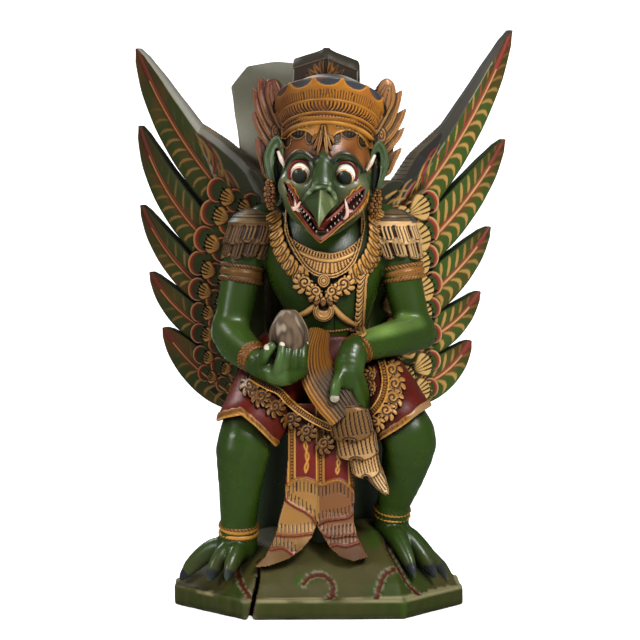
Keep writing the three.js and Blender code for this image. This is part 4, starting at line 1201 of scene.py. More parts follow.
def bill(piece):
    """A keeled shield with pointed corners, which narrows in two hollow curves to its tip."""
    rows = np.array([[np.interp(t, np.arange(len(BILL)), [b[k] for b in BILL]) for k in range(4)]
                     for t in np.linspace(0, len(BILL) - 1, 61)])
    s = np.linspace(-1, 1, 31)
    z, half, edge, keel = (column[:, None] for column in rows.T)
    deep = edge + (keel - edge) * (1 - np.abs(s) ** 1.25)
    x = -2.5 + half * s
    front = np.stack([x, -deep, z + 0 * s], -1)
    back = np.stack([x[:, ::-1], -edge + 5 + 0 * s, z + 0 * s], -1)
    points, faces = lofted(np.concatenate([front, back], 1))
    x, y, z = points.T
    # The bill is painted darker on the viewer's left than on its right, as painted shade and light. Its keel
    # is painted pale, as wear and a painted highlight, and its right half has patches of painted highlight.
    paint = mix(tint("263218"), tint("46502f"), ramp(x, -4.5, 0))
    paint = mix(paint, tint("86906a"), 0.8 * np.exp(-(((x + 2.5) / 1.2) ** 2)))
    paint = mix(paint, tint("7c8462"), 0.6 * (x > -1) * ramp(noise(x / 5, y / 5, z / 9, seed=78), 0, 0.5))
    paint = mix(paint, GREEN, 0.5 * ramp(-z, 50, 66))
    piece.add(from_head(points), faces, paint, turned_over=True)


def face_clay():
    """The head with its brows, eye sockets, lids, open mouth, nose and nostrils."""
    clay = head_clay()
    for side in (LEFT, RIGHT):
        cx, cz = EYES[side]
        clay.add(rod(BROWS[side], [3, 3.6, 4.2, 4.6, 4.4, 4, 3, 2], count=16), blend=3)
        clay.add(ball((cx, -60, cz), (15, 12, 17)), blend=3, cut=True)
        turn = np.linspace(0, 2 * math.pi, 25)
        bend = 0.09 * np.abs(17.5 * np.cos(turn))
        lid = np.stack([cx + 17.5 * np.cos(turn), -49 - 3.5 * np.sin(turn) + bend, cz + 19 * np.sin(turn)], 1)
        clay.add(rod(lid, [2.6], count=28), blend=2.5)
        arc = ((-21, 4), (-13, 18), (0, 22), (13, 18), (21, 4))
        fold = [(cx + x, -44 - 13 * (1 - (x / 21) ** 2), cz + z) for x, z in arc]
        clay.add(rod(fold, [1.4, 2.4, 2.8, 2.4, 1.4], count=14), blend=1.5)

    def hole(x, y, z):
        return np.maximum(inside(*np.broadcast_arrays(x, z), MOUTH), y + 34)

    clay.add((hole, np.array([-56, -100, -82]), np.array([56, -32, 0])), blend=2, cut=True)
    bridge = [(-2, -52, 38), (-2, -60, 22), (-2, -65, 8), (-2, -70, -6), (-2, -72, -18)]
    clay.add(rod(bridge, [(6, 7), (10, 8), (12, 9), (15, 10), (17, 9)], thin=(0, 1, 0.4), count=14), blend=5)
    for arch in NOSTRILS:
        clay.add(rod(arch, [2.4, 3.4, 3.6, 3.2, 2.0], count=16), blend=2)
    clay.add(rod([(-2, -70, -22), (-3, -72, -34)], [(15, 5), (17, 4)], count=4), blend=3)
    return clay


def face_paint(points):
    """Green skin with painted highlights on the cheeks, a leather brown cap above the black brows, and a dark
    mouth.
    """
    x, y, z = points.T
    front = y < -10
    paint = skin_paint(points, mix(GREEN * 0.8, MOSS, 0.3), seed=70)
    # A painted highlight makes the cheeks paler.
    cheek = np.exp(-(((np.abs(x + 1) - 42) / 16) ** 2) - ((z + 10) / 20) ** 2)
    paint = mix(paint, tint("6e6c50"), 0.75 * cheek * (y < -20))
    # The nostril arches are painted paler in patches, as worn paint and as painted highlights.
    arch_wear_and_sheen = (y < -76) & (z < -6) & (z > -40)
    paint = mix(paint, tint("7a8a64"), 0.7 * arch_wear_and_sheen * ramp(noise(x / 3, y / 3, z / 3, seed=73), -0.1, 0.5))
    brow_z = np.full(len(points), 31.0)
    near_brow = np.full(len(points), 50.0)
    for side in (LEFT, RIGHT):
        line = smooth(BROWS[side], 40)[:, [0, 2]]
        order = np.argsort(line[:, 0])
        half = (x < -2) if side == LEFT else (x >= -2)
        brow_z = np.where(half, np.interp(x, line[order, 0], line[order, 1]), brow_z)
        near_brow = np.minimum(near_brow, line_distance(x, z, line)[0])
    brow_z = np.where(np.abs(x + 2) < 6, 36, brow_z)
    brow_z = np.where(front, brow_z, 20)
    patchy = noise(x / 9, y / 9, z / 9, seed=72) + x / 90
    leather = mix(tint("542c0e"), tint("7a4a20"), ramp(patchy, -0.4, 0.6))
    paint = mix(paint, leather, ramp(z, brow_z, brow_z + 2))
    paint = mix(paint, BLACK * 0.5, 0.95 * (1 - ramp(near_brow, 2.0, 3.2)) * (y < -30))
    hollow = inside(x, z, MOUTH) < 1.5
    return mix(paint, BRICK * 0.35, 0.95 * (hollow & (y > -66) & (z < 0) & front))


def head():
    points, faces = face_clay().skin()
    piece = Piece()
    piece.add(from_head(points), faces, face_paint(points))
    bill(piece)
    piece.make("head", "skin")


# The top of the dark arch over each brow, and its lobes: middle, half width and half height.
ARCHES = {
    LEFT: ([(-63, 42), (-59, 53), (-50, 62), (-39, 66.5), (-28, 65), (-20, 60), (-12, 48)],
           [(-55, 53, 5.5, 10), (-39.5, 65, 10.5, 11), (-21.5, 57, 6.5, 10)]),
    RIGHT: ([(4, 49), (12, 61), (21, 66), (31, 68), (42, 64), (50, 58), (57, 46)],
            [(13.5, 58, 6.5, 9), (31, 66.5, 10.5, 10), (49.5, 56, 6.5, 10)]),
}


def scallops(carving, side):
    """The dark scallops over one brow, their gold rim and the curls above it."""
    u, v = carving.u, carving.v
    top, lobes = ARCHES[side]
    half = (u < -4) if side == LEFT else (u >= -4)
    arch = np.interp(u, [p[0] for p in smooth(top, 30)], [p[1] for p in smooth(top, 30)])
    above = within(half, arch - v)
    carving.lay(above, height=2.4, soft=1.2, on=True)
    for x, z, rx, rz in lobes:
        lobe = (np.hypot((u - x) / rx, (v - z) / rz) - 1) * min(rx, rz)
        dark = np.maximum(lobe, within(half, v - arch + 0.8))
        carving.lay(dark - 1.3, height=1.9, paint=GOLD, on=True)
        carving.lay(dark, height=0.6, paint=tint("101014"))
        for off in (-0.5, 0.0, 0.5):
            line = [(x + off * rx, z + 0.1 * rz), (x + off * rx * 0.8, z - 0.45 * rz)]
            carving.stroke(line, 0.5, rise=0.7, paint=GOLD * 0.4, count=2)
    ridge(carving, above, 1.2, 1.2, PALE_GOLD)
    for k in range(5):
        away = 8 + 10.5 * k
        cx, cz = -3 + side * away, 75 - 0.0026 * away**2
        spin = np.linspace(0, 3.6 * math.pi, 40)
        reach = 0.6 + 0.38 * spin
        curl = np.stack([cx + side * reach * np.cos(spin), cz + reach * np.sin(spin)], 1)
        carving.stroke(curl, 1.0, rise=1.8, paint=PALE_GOLD, count=0)
        carving.stroke(curl + (side * 0.9, 0), 0.6, rise=-1.0, paint=UMBER * 0.6, count=0)


def bud(carving):
    """Six leaves that hang from the diadem between the brows."""
    u, v = carving.u, carving.v
    middle = np.abs(u + 4) - 6 - 0.25 * np.clip(v - 40, 0, None)
    carving.lay(np.maximum(middle, 44 - v), height=2.2, paint=GOLD, on=True)
    for side in (LEFT, RIGHT):
        for k, (x, z) in enumerate(((15, 47), (12, 38), (7, 31))):
            drop = ((0, 70), (0.35 * x, 58), (0.8 * x, z + 8), (x, z))
            line = smooth([(-4 + side * out, rise) for out, rise in drop], 16)
            d, share = line_distance(u, v, line)
            wide = 3.2 * bulge(share) + 0.4
            # The leaves on the viewer's left are painted duller, as browned gold and as painted shade.
            paint = mix(GOLD, PALE_GOLD, 0.5 if side == RIGHT else 0.0) * 0.75
            carving.lay(d - wide, height=3.2 + 0.5 * k, paint=paint, on=True)
            carving.height += (d < wide) * 1.4 * bulge(d / wide)
            carving.stroke(line, 0.5, rise=-1.0, paint=UMBER * 0.7, count=0)
            carving.outline(d - wide, 0.4, -1.0, UMBER * 0.6)
    carving.stroke([(-4, 72), (-4, 52), (-3, 36)], 1.6, rise=-2.0, paint=UMBER * 0.5, ends=(0.5, 1.2))


def forehead():
    """Curls, dark scallops and a hanging bud between the diadem and the brows."""
    carving = Carving((-64, 62, 24, 84), step=0.75, paint=GOLD * 0.9)
    depth = filled_front(head_clay(), carving.u, carving.v)
    for side in (LEFT, RIGHT):
        scallops(carving, side)
    bud(carving)

    def surface(u, v, h):
        return from_head(np.stack([u, depth - h - 0.2, v], -1))

    whole_piece("forehead", "gold", *carving.sheet(surface, rim=4))


# The painted rings of an eye, from the outermost to the pupil.
IRIS = [
    (13.0, BRICK * 0.45), (12.1, BONE * 0.8), (11.4, PALE_GOLD * 1.1), (10.5, BRICK * 0.4),
    (9.8, tint("1c211c")),
]


def eyes():
    piece = Piece()
    for side in (LEFT, RIGHT):
        cx, cz = EYES[side]
        a, b = np.meshgrid(np.linspace(0.001, 0.6 * math.pi, 64), circle(64), indexing="ij")
        x, z, y = 15.5 * np.sin(a) * np.cos(b), 17 * np.sin(a) * np.sin(b), -15 * np.cos(a)
        points, faces = lofted(np.stack([cx + x, -45 + y, cz + z], -1))
        px, pz = (-0.8, -4.3) if side == LEFT else (-1.1, -5.8)
        r = np.hypot(x - px, z - pz).ravel()
        paint = np.broadcast_to(BONE, (r.size, 3))
        for edge, colour in IRIS:
            paint = mix(paint, colour, r < edge)
        rim = np.hypot(x / 15.5, z / 17).ravel()
        paint = mix(paint, BRICK * 0.5, rim > 0.9)
        piece.add(from_head(points), faces, paint)
        turn = np.linspace(0, 2 * math.pi, 60)
        line = np.stack([cx + 15.6 * np.cos(turn), -52.2 - 2.5 * np.sin(turn), cz + 17 * np.sin(turn)], 1)
        head_tube(piece, line, [2.0], tint("5c1410"), count=80, sides=8)
    piece.make("eyes", "skin")


def crest():
    piece = Piece()
    outline = [(10, 96), (10, 172), (16, 186), (40, 186), (72, 169), (84, 120), (70, 62), (46, 44)]
    xs = np.array([-45.5, -44, -30, -14, -6, -4, -1.5, 1.5, 4, 6, 14, 30, 44, 45.5])
    drop = np.array([20, 17, 12, 6.5, 3, 0.5, 0.5, 0.5, 0.5, 3, 6.5, 12, 17, 20])
    rings = []
    for x, d in zip(xs, drop):
        inset = 1.5 if abs(x) > 45 else 0
        rings.append([(x - 8, y + inset * np.sign(30 - y), z - d if z > 150 else z) for y, z in outline])
    points, faces = lofted(rings)
    piece.add(from_head(points), faces, tint("2e2a22"))
    carving = Carving((-53.5, 37.5, 118, 172), step=0.7, paint=tint("2a2018"))
    u, v = carving.u, carving.v
    x = u + 8
    roof = 171 - 0.36 * np.clip(np.abs(x) - 3, 0, None)
    carving.on = v < roof
    for line in (-3.4, 3.4):
        ridge(carving, x - line, 1.6, 2.2, tint("3a3026"))
    ridge(carving, x, 0.9, -0.8, BLACK)
    ridge(carving, np.abs(x) - 44.2, 1.1, 1.4, GREY)
    ridge(carving, roof - v - 1.2, 0.9, 1.0, tint("4a4238"))
    for k, turn in enumerate((-68, -48, -28, -12, 12, 28, 48, 68)):
        c, s = math.cos(math.radians(90 - turn)), math.sin(math.radians(90 - turn))
        length = (20, 24, 26, 30, 30, 26, 24, 20)[k]
        line = smooth([(-8 + 10 * c, 140 + 6 * s), (-8 + (10 + length * 0.5) * c, 138 + length * 0.55 * s),
                       (-8 + (10 + length) * c, 139 + length * s)], 14)
        d, share = line_distance(u, v, line)
        wide = 3.9 * np.sin(math.pi * np.clip(share * 0.9 + 0.1, 0, 1)) + 0.3
        worn = ramp(noise(u / 5, v / 5, 0, seed=83), -0.3, 0.3)[..., None]
        carving.lay(d - wide, rise=1.2, paint=GOLD * (0.35 + 0.35 * worn))
        carving.stroke(line, 0.6, rise=-0.7, paint=UMBER * 0.5, count=0)
    piece.add(*carving.sheet(lambda u, v, h: from_head(np.stack([u, 9.6 - h, v], -1)), rim=3))
    piece.make("crest", "cloth")


# Forms shared by the dress and the crown


def frames(line, thin):
    """Directions along a line of points, across it and through its thin side."""
    along = np.gradient(line, axis=0)
    along /= np.linalg.norm(along, axis=1)[:, None]
    thin = np.array(thin, float)
    deep = thin - (along @ thin)[:, None] * along
    deep /= np.linalg.norm(deep, axis=1)[:, None]
    return along, np.cross(along, deep), deep


def tube(points, radii, thin=(0, 1, 0), count=24, sides=16):
    """Points and faces of a closed tube along a smooth line."""
    line, size = smooth(points, count), spread(radii, count)
    _, wide, deep = frames(line, thin)
    turn = circle(sides)
    ring = size[:, :1, None] * np.cos(turn)[:, None] * wide[:, None]
    ring = ring + size[:, 1:, None] * np.sin(turn)[:, None] * deep[:, None]
    rings = line[:, None] + ring
    ends = [np.broadcast_to(line[k], (1, sides, 3)) for k in (0, -1)]
    return lofted(np.concatenate([ends[0] + 0.03 * ring[:1], rings, ends[1] + 0.03 * ring[-1:]]))


def head_tube(piece, line, radii, paint, **shape):
    """Adds a tube that is laid out in the head's own frame."""
    points, faces = tube(line, radii, **shape)
    piece.add(from_head(points), faces, paint)


def way_along(line):
    """The way from the first point of a line to each of its points."""
    return np.concatenate([[0], np.cumsum(np.linalg.norm(np.diff(line, axis=0), axis=1))])


def rows_at(v, along, arrays):
    """A row of each array at the way v, from its rows at the ways along."""
    return [np.stack([np.interp(v, along, a[:, k]) for k in range(a.shape[1])], -1) for a in arrays]


def around(line, radii, thin):
    """A surface round a line: u is the way round and v the way along, both in millimetres."""
    line, size = np.asarray(line, float), np.asarray(radii, float)
    along = way_along(line)
    _, wide, deep = frames(line, thin)
    girth = size.mean()

    def surface(u, v, h):
        turn = u / girth
        middle, w, d, r = rows_at(v, along, (line, wide, deep, size))
        across = w * (np.cos(turn) * (r[..., 0] + h))[..., None]
        return middle + across + d * (np.sin(turn) * (r[..., 1] + h))[..., None]

    return surface, 2 * math.pi * girth, along[-1]


def rope(carving, along, across, half, rise, pitch, slant, paint):
    """A twisted rope: along and across are maps of the place along it and from its middle."""
    s = across / half
    wave = np.cos(2 * math.pi * (along + slant * across) / pitch)
    cover = np.abs(s) < 1
    carving.height += cover * bulge(s) * rise * (0.72 + 0.28 * wave)
    carving.fill(cover, mix(paint * np.ones(3), UMBER * 0.5, ramp(-wave, 0.45, 0.85)))


def beads(carving, along, across, radius, pitch, half, rise=1.4, paint=GOLD):
    """A row of beads in a dark channel."""
    local = (along / pitch + 0.5) % 1.0 * pitch - pitch / 2
    d = np.hypot(local, across) / radius
    cover = np.abs(across) < half
    carving.height += cover * (rise * bulge(d) - 0.4)
    carving.fill(cover, mix(UMBER * 0.6, paint, 1 - ramp(d, 0.75, 1.05)))


def ridge(carving, across, half, rise, paint):
    """A rounded ridge, or a groove where rise is negative, from a map of the distance to its middle."""
    s = across / half
    cover = np.abs(s) < 1
    carving.height += cover * bulge(s) * rise
    carving.fill(cover, paint)


def within(mask, distance):
    """A distance inside the mask, and one that is out of reach outside it."""
    return np.where(mask, distance, 50.0)


def follow(carving, line):
    """Maps of the way along a line and of the distance to its left or right."""
    d, share = line_distance(carving.u, carving.v, line)
    step = share * (len(line) - 1)
    along = np.interp(step, np.arange(len(line)), way_along(line))
    i = np.clip(step.astype(int), 0, len(line) - 2)
    run = np.diff(line, axis=0)[i]
    side = np.sign((carving.u - line[i, 0]) * run[..., 1] - (carving.v - line[i, 1]) * run[..., 0])
    return along, d * side


def rosette(piece, centre, aim, radius, petals, depth, paint):
    """A flower with round petals about a raised heart, facing along aim."""
    aim = unit(aim)
    right = unit(np.cross(aim, (0, 0, 1)))
    up = np.cross(right, aim)
    r, turn = np.meshgrid(np.linspace(0.02, 1, 15), circle(8 * petals), indexing="ij")
    lobe = np.abs(np.cos(turn * petals / 2)) ** 0.6
    reach = r * radius * (0.84 + 0.16 * lobe)
    height = depth * (0.55 * (1 - r**3) * (0.6 + 0.4 * lobe) + 0.45 * ramp(0.36 - r, 0, 0.12))
    height -= 0.25 * depth * np.exp(-(((r - 0.38) / 0.07) ** 2))
    height = np.where(r > 0.99, -depth, height)
    points = np.array(centre) + (reach * np.cos(turn))[..., None] * right
    points = points + (reach * np.sin(turn))[..., None] * up + height[..., None] * aim
    groove = np.maximum(np.exp(-(((r - 0.4) / 0.09) ** 2)), (1 - lobe) * ramp(r, 0.35, 0.6))
    colour = mix(paint * np.ones(3), UMBER * 0.6, np.clip(groove * 1.2, 0, 1))
    _, faces = lofted(points)
    piece.add(points.reshape(-1, 3), faces, colour.reshape(-1, 3))


# Crown


# The height and the radius of the diadem, from its lower edge over its upper one.
DIADEM = [
    (51, 58), (52, 62.5), (54.5, 65), (57, 62), (58, 61.5), (65.5, 62.5), (66.5, 65), (68, 65.5),
    (69, 63.5), (80.5, 68), (81.5, 70.5), (82.8, 70.5), (83.6, 68.8), (94.5, 73), (96.5, 75), (108, 77),
    (109.6, 76), (110, 70), (107.5, 66),
]
DIADEM_RADIUS = 70.0  # the radius that the map of the diadem is laid out at
SCALLOP = 36.0  # pitch of the dark scallops round the diadem's upper edge
CROWN_RISE = 0.36  # rise of the crown's front for each millimetre forward
CROWN_BACK = 6.0  # how far the crown's middle lies behind the head's


def diadem():
    profile = np.array(DIADEM, float)
    length = way_along(profile)
    half_way = math.pi * DIADEM_RADIUS
    carving = Carving((-half_way, half_way, 0, length[-1]), step=1.25, paint=GOLD, on=True)
    height = np.interp(carving.v, length, profile[:, 0])
    u = carving.u
    mirrored = np.abs(u)
    ridge(carving, height - 54.5, 3.2, 0.3, mix(GOLD, PALE_GOLD, 0.5))
    beads(carving, u, height - 61.8, 2.1, 5.0, paint=GOLD, half=3.4)
    lean = 0.5 * (height - 75) + 2.4 * np.sin((height - 69) / 11.5 * math.pi)
    curl = (mirrored - lean) / 5.4 % 1.0 - 0.5
    comma = np.abs(curl) - 0.16 - 0.014 * (height - 69)
    band = (height > 69) & (height < 80.6)
    carving.height += band * (1.8 * ramp(-comma, -0.05, 0.12) - 0.9)
    carving.fill(band, mix(UMBER * 0.45, GOLD * 1.15, ramp(-comma, -0.04, 0.06)))
    ragged = 0.9 * noise(u / 4, 0, 0, seed=77)
    hatch = saw(mirrored / 3.9 + 0.15 * noise(u / 9, height / 4, 0, seed=76)) - 0.18
    band = (height > 84.6 + ragged) & (height < 94.2 + ragged)
    carving.height += band * (1.0 * ramp(hatch, -0.1, 0.1) - 0.5)
    carving.fill(band & (hatch < 0), UMBER * 0.75)
    scallop = ((mirrored / SCALLOP + 0.5) % 1.0 - 0.5) * SCALLOP
    arch = (np.hypot(scallop / 16, (height - 109.6) / 11) - 1) * 11
    carving.lay(np.where(height > 95, arch, 9), height=-1.2, paint=tint("2a2c30"))
    edge = (height > 95) & (np.abs(arch - 0.5) < 0.6)
    carving.fill(edge, mix(GOLD, PALE_GOLD, 0.4))
    worn = ramp(noise(u / 12, height / 5, 0, seed=79), 0.1, 0.6)
    carving.blend(tint("6a3a16"), 0.6 * worn * (height < 109))
    # Towards its back the diadem is painted darker, sooner on the viewer's left, and its right side is
    # painted brighter: browned gold, with painted shade and painted light.
    carving.blend(tint("4e2812"), 0.7 * ramp(mirrored - 0.45 * u, 40, 110))
    carving.paint = carving.paint * (1 + 0.5 * ramp(u, -20, 60))[..., None]
    inner = carving.v > length[-3]
    carving.fill(inner, SLATE * 0.6)

    def surface(u, v, h):
        turn = -math.pi / 2 + u / DIADEM_RADIUS
        radius, z = np.interp(v, length, profile[:, 1]) + h, np.interp(v, length, profile[:, 0])
        x, y = radius * np.cos(turn), radius * np.sin(turn)
        return from_head(np.stack([x, y + CROWN_BACK, z + CROWN_RISE * np.clip(-y, 0, None)], -1))

    whole_piece("diadem", "gold", *carving.sheet(surface, rim=3))


def dome():
    """A slate dome that closes the diadem, with a painted highlight in light grey patches towards its top."""
    r, turn = np.meshgrid(np.linspace(1, 0.02, 20), circle(80), indexing="ij")
    x, y = 69 * r * np.cos(turn), 69 * r * np.sin(turn)
    z = 109 + CROWN_RISE * np.clip(-y, 0, None) * r + 39 * (1 - r**2)
    points, faces = lofted(from_head(np.stack([x, y + CROWN_BACK, z], -1)))
    # A painted highlight lightens the top in patches.
    pale = ramp(noise(x / 14, y / 14, 0, seed=74), -0.4, 0.4).ravel() * ramp(z.ravel(), 124, 136)
    whole_piece("dome", "tail", points, faces, mix(tint("3c3e42"), tint("a49e9c"), 0.9 * pale))


# The outer edge of each leaf of an ear wing, from its root to its tip, and its width.
LEAVES = {
    LEFT: [
        ([(66, -6), (80, 0), (88, 6), (94, 22), (99, 38), (101, 50), (101, 60)], 14),
        ([(70, 26), (86, 46), (97, 62), (102, 71), (106, 83), (107, 95)], 15),
        ([(66, 40), (82, 58), (92, 72), (101, 90), (106, 105), (108, 128)], 15),
        ([(64, 54), (76, 68), (88, 84), (96, 104), (101, 122), (100, 142)], 15),
    ],
    RIGHT: [
        ([(62, -4), (74, 6), (87, 15), (94, 31), (99, 42), (102, 53)], 14),
        ([(64, 20), (80, 40), (90, 52), (99, 64), (105, 81)], 16),
        ([(64, 40), (82, 58), (93, 72), (102, 91), (106, 107)], 16),
        ([(64, 56), (76, 68), (87, 83), (96, 111), (99, 132)], 15),
    ],
}
LOBES = {
    LEFT: [(56, 60), (60, 90), (64, 112), (68, 130), (75, 139), (86, 138), (90, 126), (88, 110),
           (80, 92), (70, 74)],
    RIGHT: [(56, 62), (58, 84), (60, 104), (60, 122), (66, 138), (74, 146), (84, 142), (89, 130),
            (88, 112), (80, 94), (72, 78), (64, 66)],
}
EAR_WING_ROOT = [(46, -6), (46, 124), (66, 132), (86, 110), (92, 60), (84, 16), (66, -6)]
EAR_WING_SWEEP = math.radians(12)
LEAF_COPPER = tint("6a3320")


def leaf(carving, edge, width, base, low, high):
    """A hollow leaf with a rounded outer edge, painted from one colour at its root to one at its tip, dark
    with painted shade in its hollow.
    """
    line = smooth(edge, 24)
    along, across = follow(carving, line)
    inner, tip = -across, line[-1]
    share = along / along.max()
    cover = np.maximum(np.maximum(across, inner - width), carving.v - tip[1] - 0.6 * (carving.u - tip[0]))
    paint = mix(low, high, ramp(share, 0.45, 0.95))
    # The leaf is painted at a third of its colour as painted shade in its hollow, and keeps its full colour
    # along its outer edge as painted light.
    carving.lay(cover, height=base, paint=paint * 0.35, on=True)
    covered = cover < 0
    carving.height += covered * 3.6 * bulge((inner - 3.4) / 3.6)
    carving.blend(paint, covered * (1 - ramp(inner, 5.5, 8)))
    vein = np.abs(inner - 3.6 - 0.8 * np.sin(along / 6)) - 0.45
    carving.height -= covered * (vein < 0) * 0.9 * (share > 0.2)
    carving.blend(UMBER * 0.6, covered * (vein < 0) * 0.7 * (share > 0.2))
    hollow = covered & (inner > 7) & (saw(inner / 3.1) < 0.16)
    carving.height += 0.8 * hollow
    carving.blend(paint * 0.8, hollow * 0.6)
    carving.blend(UMBER * 0.4, covered * (np.abs(cover) < 0.7) * 0.9)


def ear_wings():
    piece = Piece()
    for side in (LEFT, RIGHT):
        carving = Carving((44, 112, -10, 150), step=0.95, paint=UMBER)
        u, v = carving.u, carving.v
        root = mix(GOLD, LEAF_COPPER, 0.4) * 0.65 if side == LEFT else mix(GOLD, TAN, 0.5) * 0.8
        tip = LEAF_COPPER * 0.8 if side == LEFT else mix(LEAF_COPPER, TAN, 0.4)
        carving.lay(inside(u, v, EAR_WING_ROOT), height=0, on=True)
        for k, (edge, width) in enumerate(LEAVES[side]):
            leaf(carving, edge, width, 1.2 + 1.3 * k, root, tip)
        # Curled leaves lie over the roots, beside the diadem.
        for x, z, r in ((56, 8, 8), (64, 30, 10), (62, 52, 9), (70, 66, 8), (58, 74, 9)):
            d = (np.hypot((u - x) / r, (v - z) / (1.5 * r)) - 1) * r
            carving.lay(d, height=6.6, paint=root)
            carving.height += (d < 0) * 2.6 * np.sqrt(np.clip(-d / r, 0, 1))
            spin = np.linspace(0, 3.4 * math.pi, 36)
            curl = np.stack([x + (0.8 + 0.5 * spin) * np.cos(spin), z + (1.2 + 0.8 * spin) * np.sin(spin)], 1)
            carving.stroke(curl, 0.8, rise=-1.5, paint=UMBER * 0.7, count=0)
            carving.outline(d, 0.6, -1.6, UMBER * 0.6)
        d = inside(u, v, closed_line(LOBES[side], 60))
        carving.lay(d, height=7.0, paint=mix(root, tip * 0.8, ramp(v - 0.4 * (u - 72), 84, 130)), on=True)
        carving.height += (d < 0) * 6 * np.sqrt(np.clip(-d / 11, 0, 1))
        carving.outline(d, 0.7, -1.6, UMBER * 0.5)
        for shift in (-0.36, -0.12, 0.12, 0.36):
            steps = ((61, 8, 74), (66, 22, 94), (71, 30, 114), (77, 12, 136))
            line = [(x + spread_by * shift, z) for x, spread_by, z in steps]
            carving.stroke(line, 0.9, rise=-1.6, paint=UMBER * 0.9, ends=(1.3, 0.3))
        hole = (np.hypot((u - 73) / 3, (v - 100) / 8) - 1) * 3
        carving.lay(hole, rise=-4, paint=UMBER * 0.5)

        def surface(u, v, h, side=side):
            c, s = math.cos(EAR_WING_SWEEP), math.sin(EAR_WING_SWEEP)
            out, deep = u - 60, -5 - 0.6 * h
            return from_head(np.stack([side * (60 + out * c - deep * s), 12 + out * s + deep * c, v], -1))

        piece.add(*carving.sheet(surface, floor=-21, back=root * 0.5), turned_over=side == LEFT)
    piece.make("ear_wings", "gold")


# The outline of each ear as x and z in the head's frame.
EARS = {
    LEFT: [(-58, -30), (-57, 0), (-57, 34), (-62, 54), (-68, 61), (-77, 56), (-85, 43), (-88, 28),
           (-84, 8), (-78, -10), (-72, -27), (-66, -37)],
    RIGHT: [(57, -16), (56, 0), (57, 34), (62, 52), (70, 60), (77, 54), (83, 42), (85, 26), (81, 10),
            (76, -4), (70, -16), (64, -22)],
}


def ears():
    piece = Piece()
    gold = Piece()
    for side in (LEFT, RIGHT):
        outline = closed_line(EARS[side], 48)
        low, high = outline.min(axis=0) - 2, outline.max(axis=0) + 2
        carving = Carving((low[0], high[0], low[1], high[1]), step=0.8, paint=GREEN)
        u, v = carving.u, carving.v
        d = inside(u, v, outline)
        carving.lay(d, height=5.0, on=True)
        carving.height += (d < 0) * 3.0 * np.exp(-(((d + 3.6) / 3) ** 2))
        middle = side * 70
        hollow = smooth([(middle - side * in_by, z) for in_by, z in ((1, 40), (3, 22), (5, 2), (4, -14))], 20)
        near, share = line_distance(u, v, hollow)
        wide = 7.5 * np.sin(math.pi * np.clip(0.12 + 0.8 * share, 0, 1))
        carving.height -= 11 * (1 - ramp(near, wide - 3.5, wide + 1))
        pale_green = mix(GREEN * 0.9, MOSS, 0.4)
        # The ear's hollow is painted dark green: a painted shade.
        carving.fill(d < 1, mix(pale_green, DEEP_GREEN * 0.6, 1 - ramp(near, wide - 3, wide + 1)))
        fold = [(middle + side * out, z) for out, z in ((1, 30), (3, 16), (1, 0), (-2, -8))]
        carving.stroke(fold, 2.0, rise=4.0, paint=GREEN * 0.9, ends=(1, 0.6))

        def surface(u, v, h, side=side):
            return from_head(np.stack([u, -6 + 0.35 * (side * u - 58) - h, v], -1))

        piece.add(*carving.sheet(surface, floor=-8, back=GREEN * 0.7))
        stud = [(side * 55, -30, 15), (side * 61, -30, 26), (side * 66, -28, 37)]
        head_tube(gold, stud, [2.2, 3.4, 2.0], mix(BONE, PINK, 0.4) * 0.8, sides=14)
        x, low_end = (-77, -6) if side == LEFT else (71, -14)
        colour = mix(GOLD, LEAF_COPPER, 0.6 if side == LEFT else 0.1)
        for k, r in enumerate((6, 8.5, 9, 8, 5.5)):
            place = from_head((x + side * (0.5 - 0.8 * k), -14 - 1.2 * k, low_end - 8 * k))
            rosette(gold, place, HEAD_TURN @ (side * 0.2, -1, 0), r, petals=5 + k % 2, depth=6, paint=colour)
    piece.make("ears", "skin")
    gold.make("earrings", "gold")


# Mouth


# The middle lines of the lips, from the corner of the mouth to the bill.
LOWER_LIP = {
    LEFT: [(-56, -34, -4), (-47, -50, -22), (-37, -62, -42), (-27, -70, -54), (-16, -79, -68),
           (-6, -87, -79), (0, -89, -84)],
    RIGHT: [(57, -34, -8), (54, -46, -24), (46, -58, -38), (33, -66, -51), (22, -74, -62),
            (10, -84, -75), (0, -89, -84)],
}
UPPER_LIP = {
    LEFT: [(-57, -36, 0), (-47, -54, -12), (-39, -66, -23), (-33, -74, -34), (-22, -82, -45), (-9, -87, -57)],
    RIGHT: [(57, -36, -6), (49, -54, -13), (39, -66, -22), (31, -74, -33), (21, -82, -45), (6, -87, -58)],
}


TUSKS = [
    ([(-30, -72, -46), (-35, -77, -42), (-37, -78, -32)], [1.6, 2.6, 0.5]),
    ([(-41, -68, -40), (-37, -76, -43), (-32, -79, -38), (-29, -79, -33)], [1.5, 2.8, 2.2, 0.5]),
    ([(29, -74, -54), (33, -78, -50), (34, -80, -43), (32, -80, -35),
    (30, -79, -27)], [1.4, 2.6, 2.6, 1.9, 0.5]), ([(40, -66, -42), (36, -76, -44),
    (33, -79, -46)], [1.4, 2.2, 1.0]),
]


def tooth(piece, root, bend, tip):
    head_tube(piece, [root, root + bend, root + tip], [1.2, 1.1, 0.3], BONE * 0.42, count=6, sides=8)


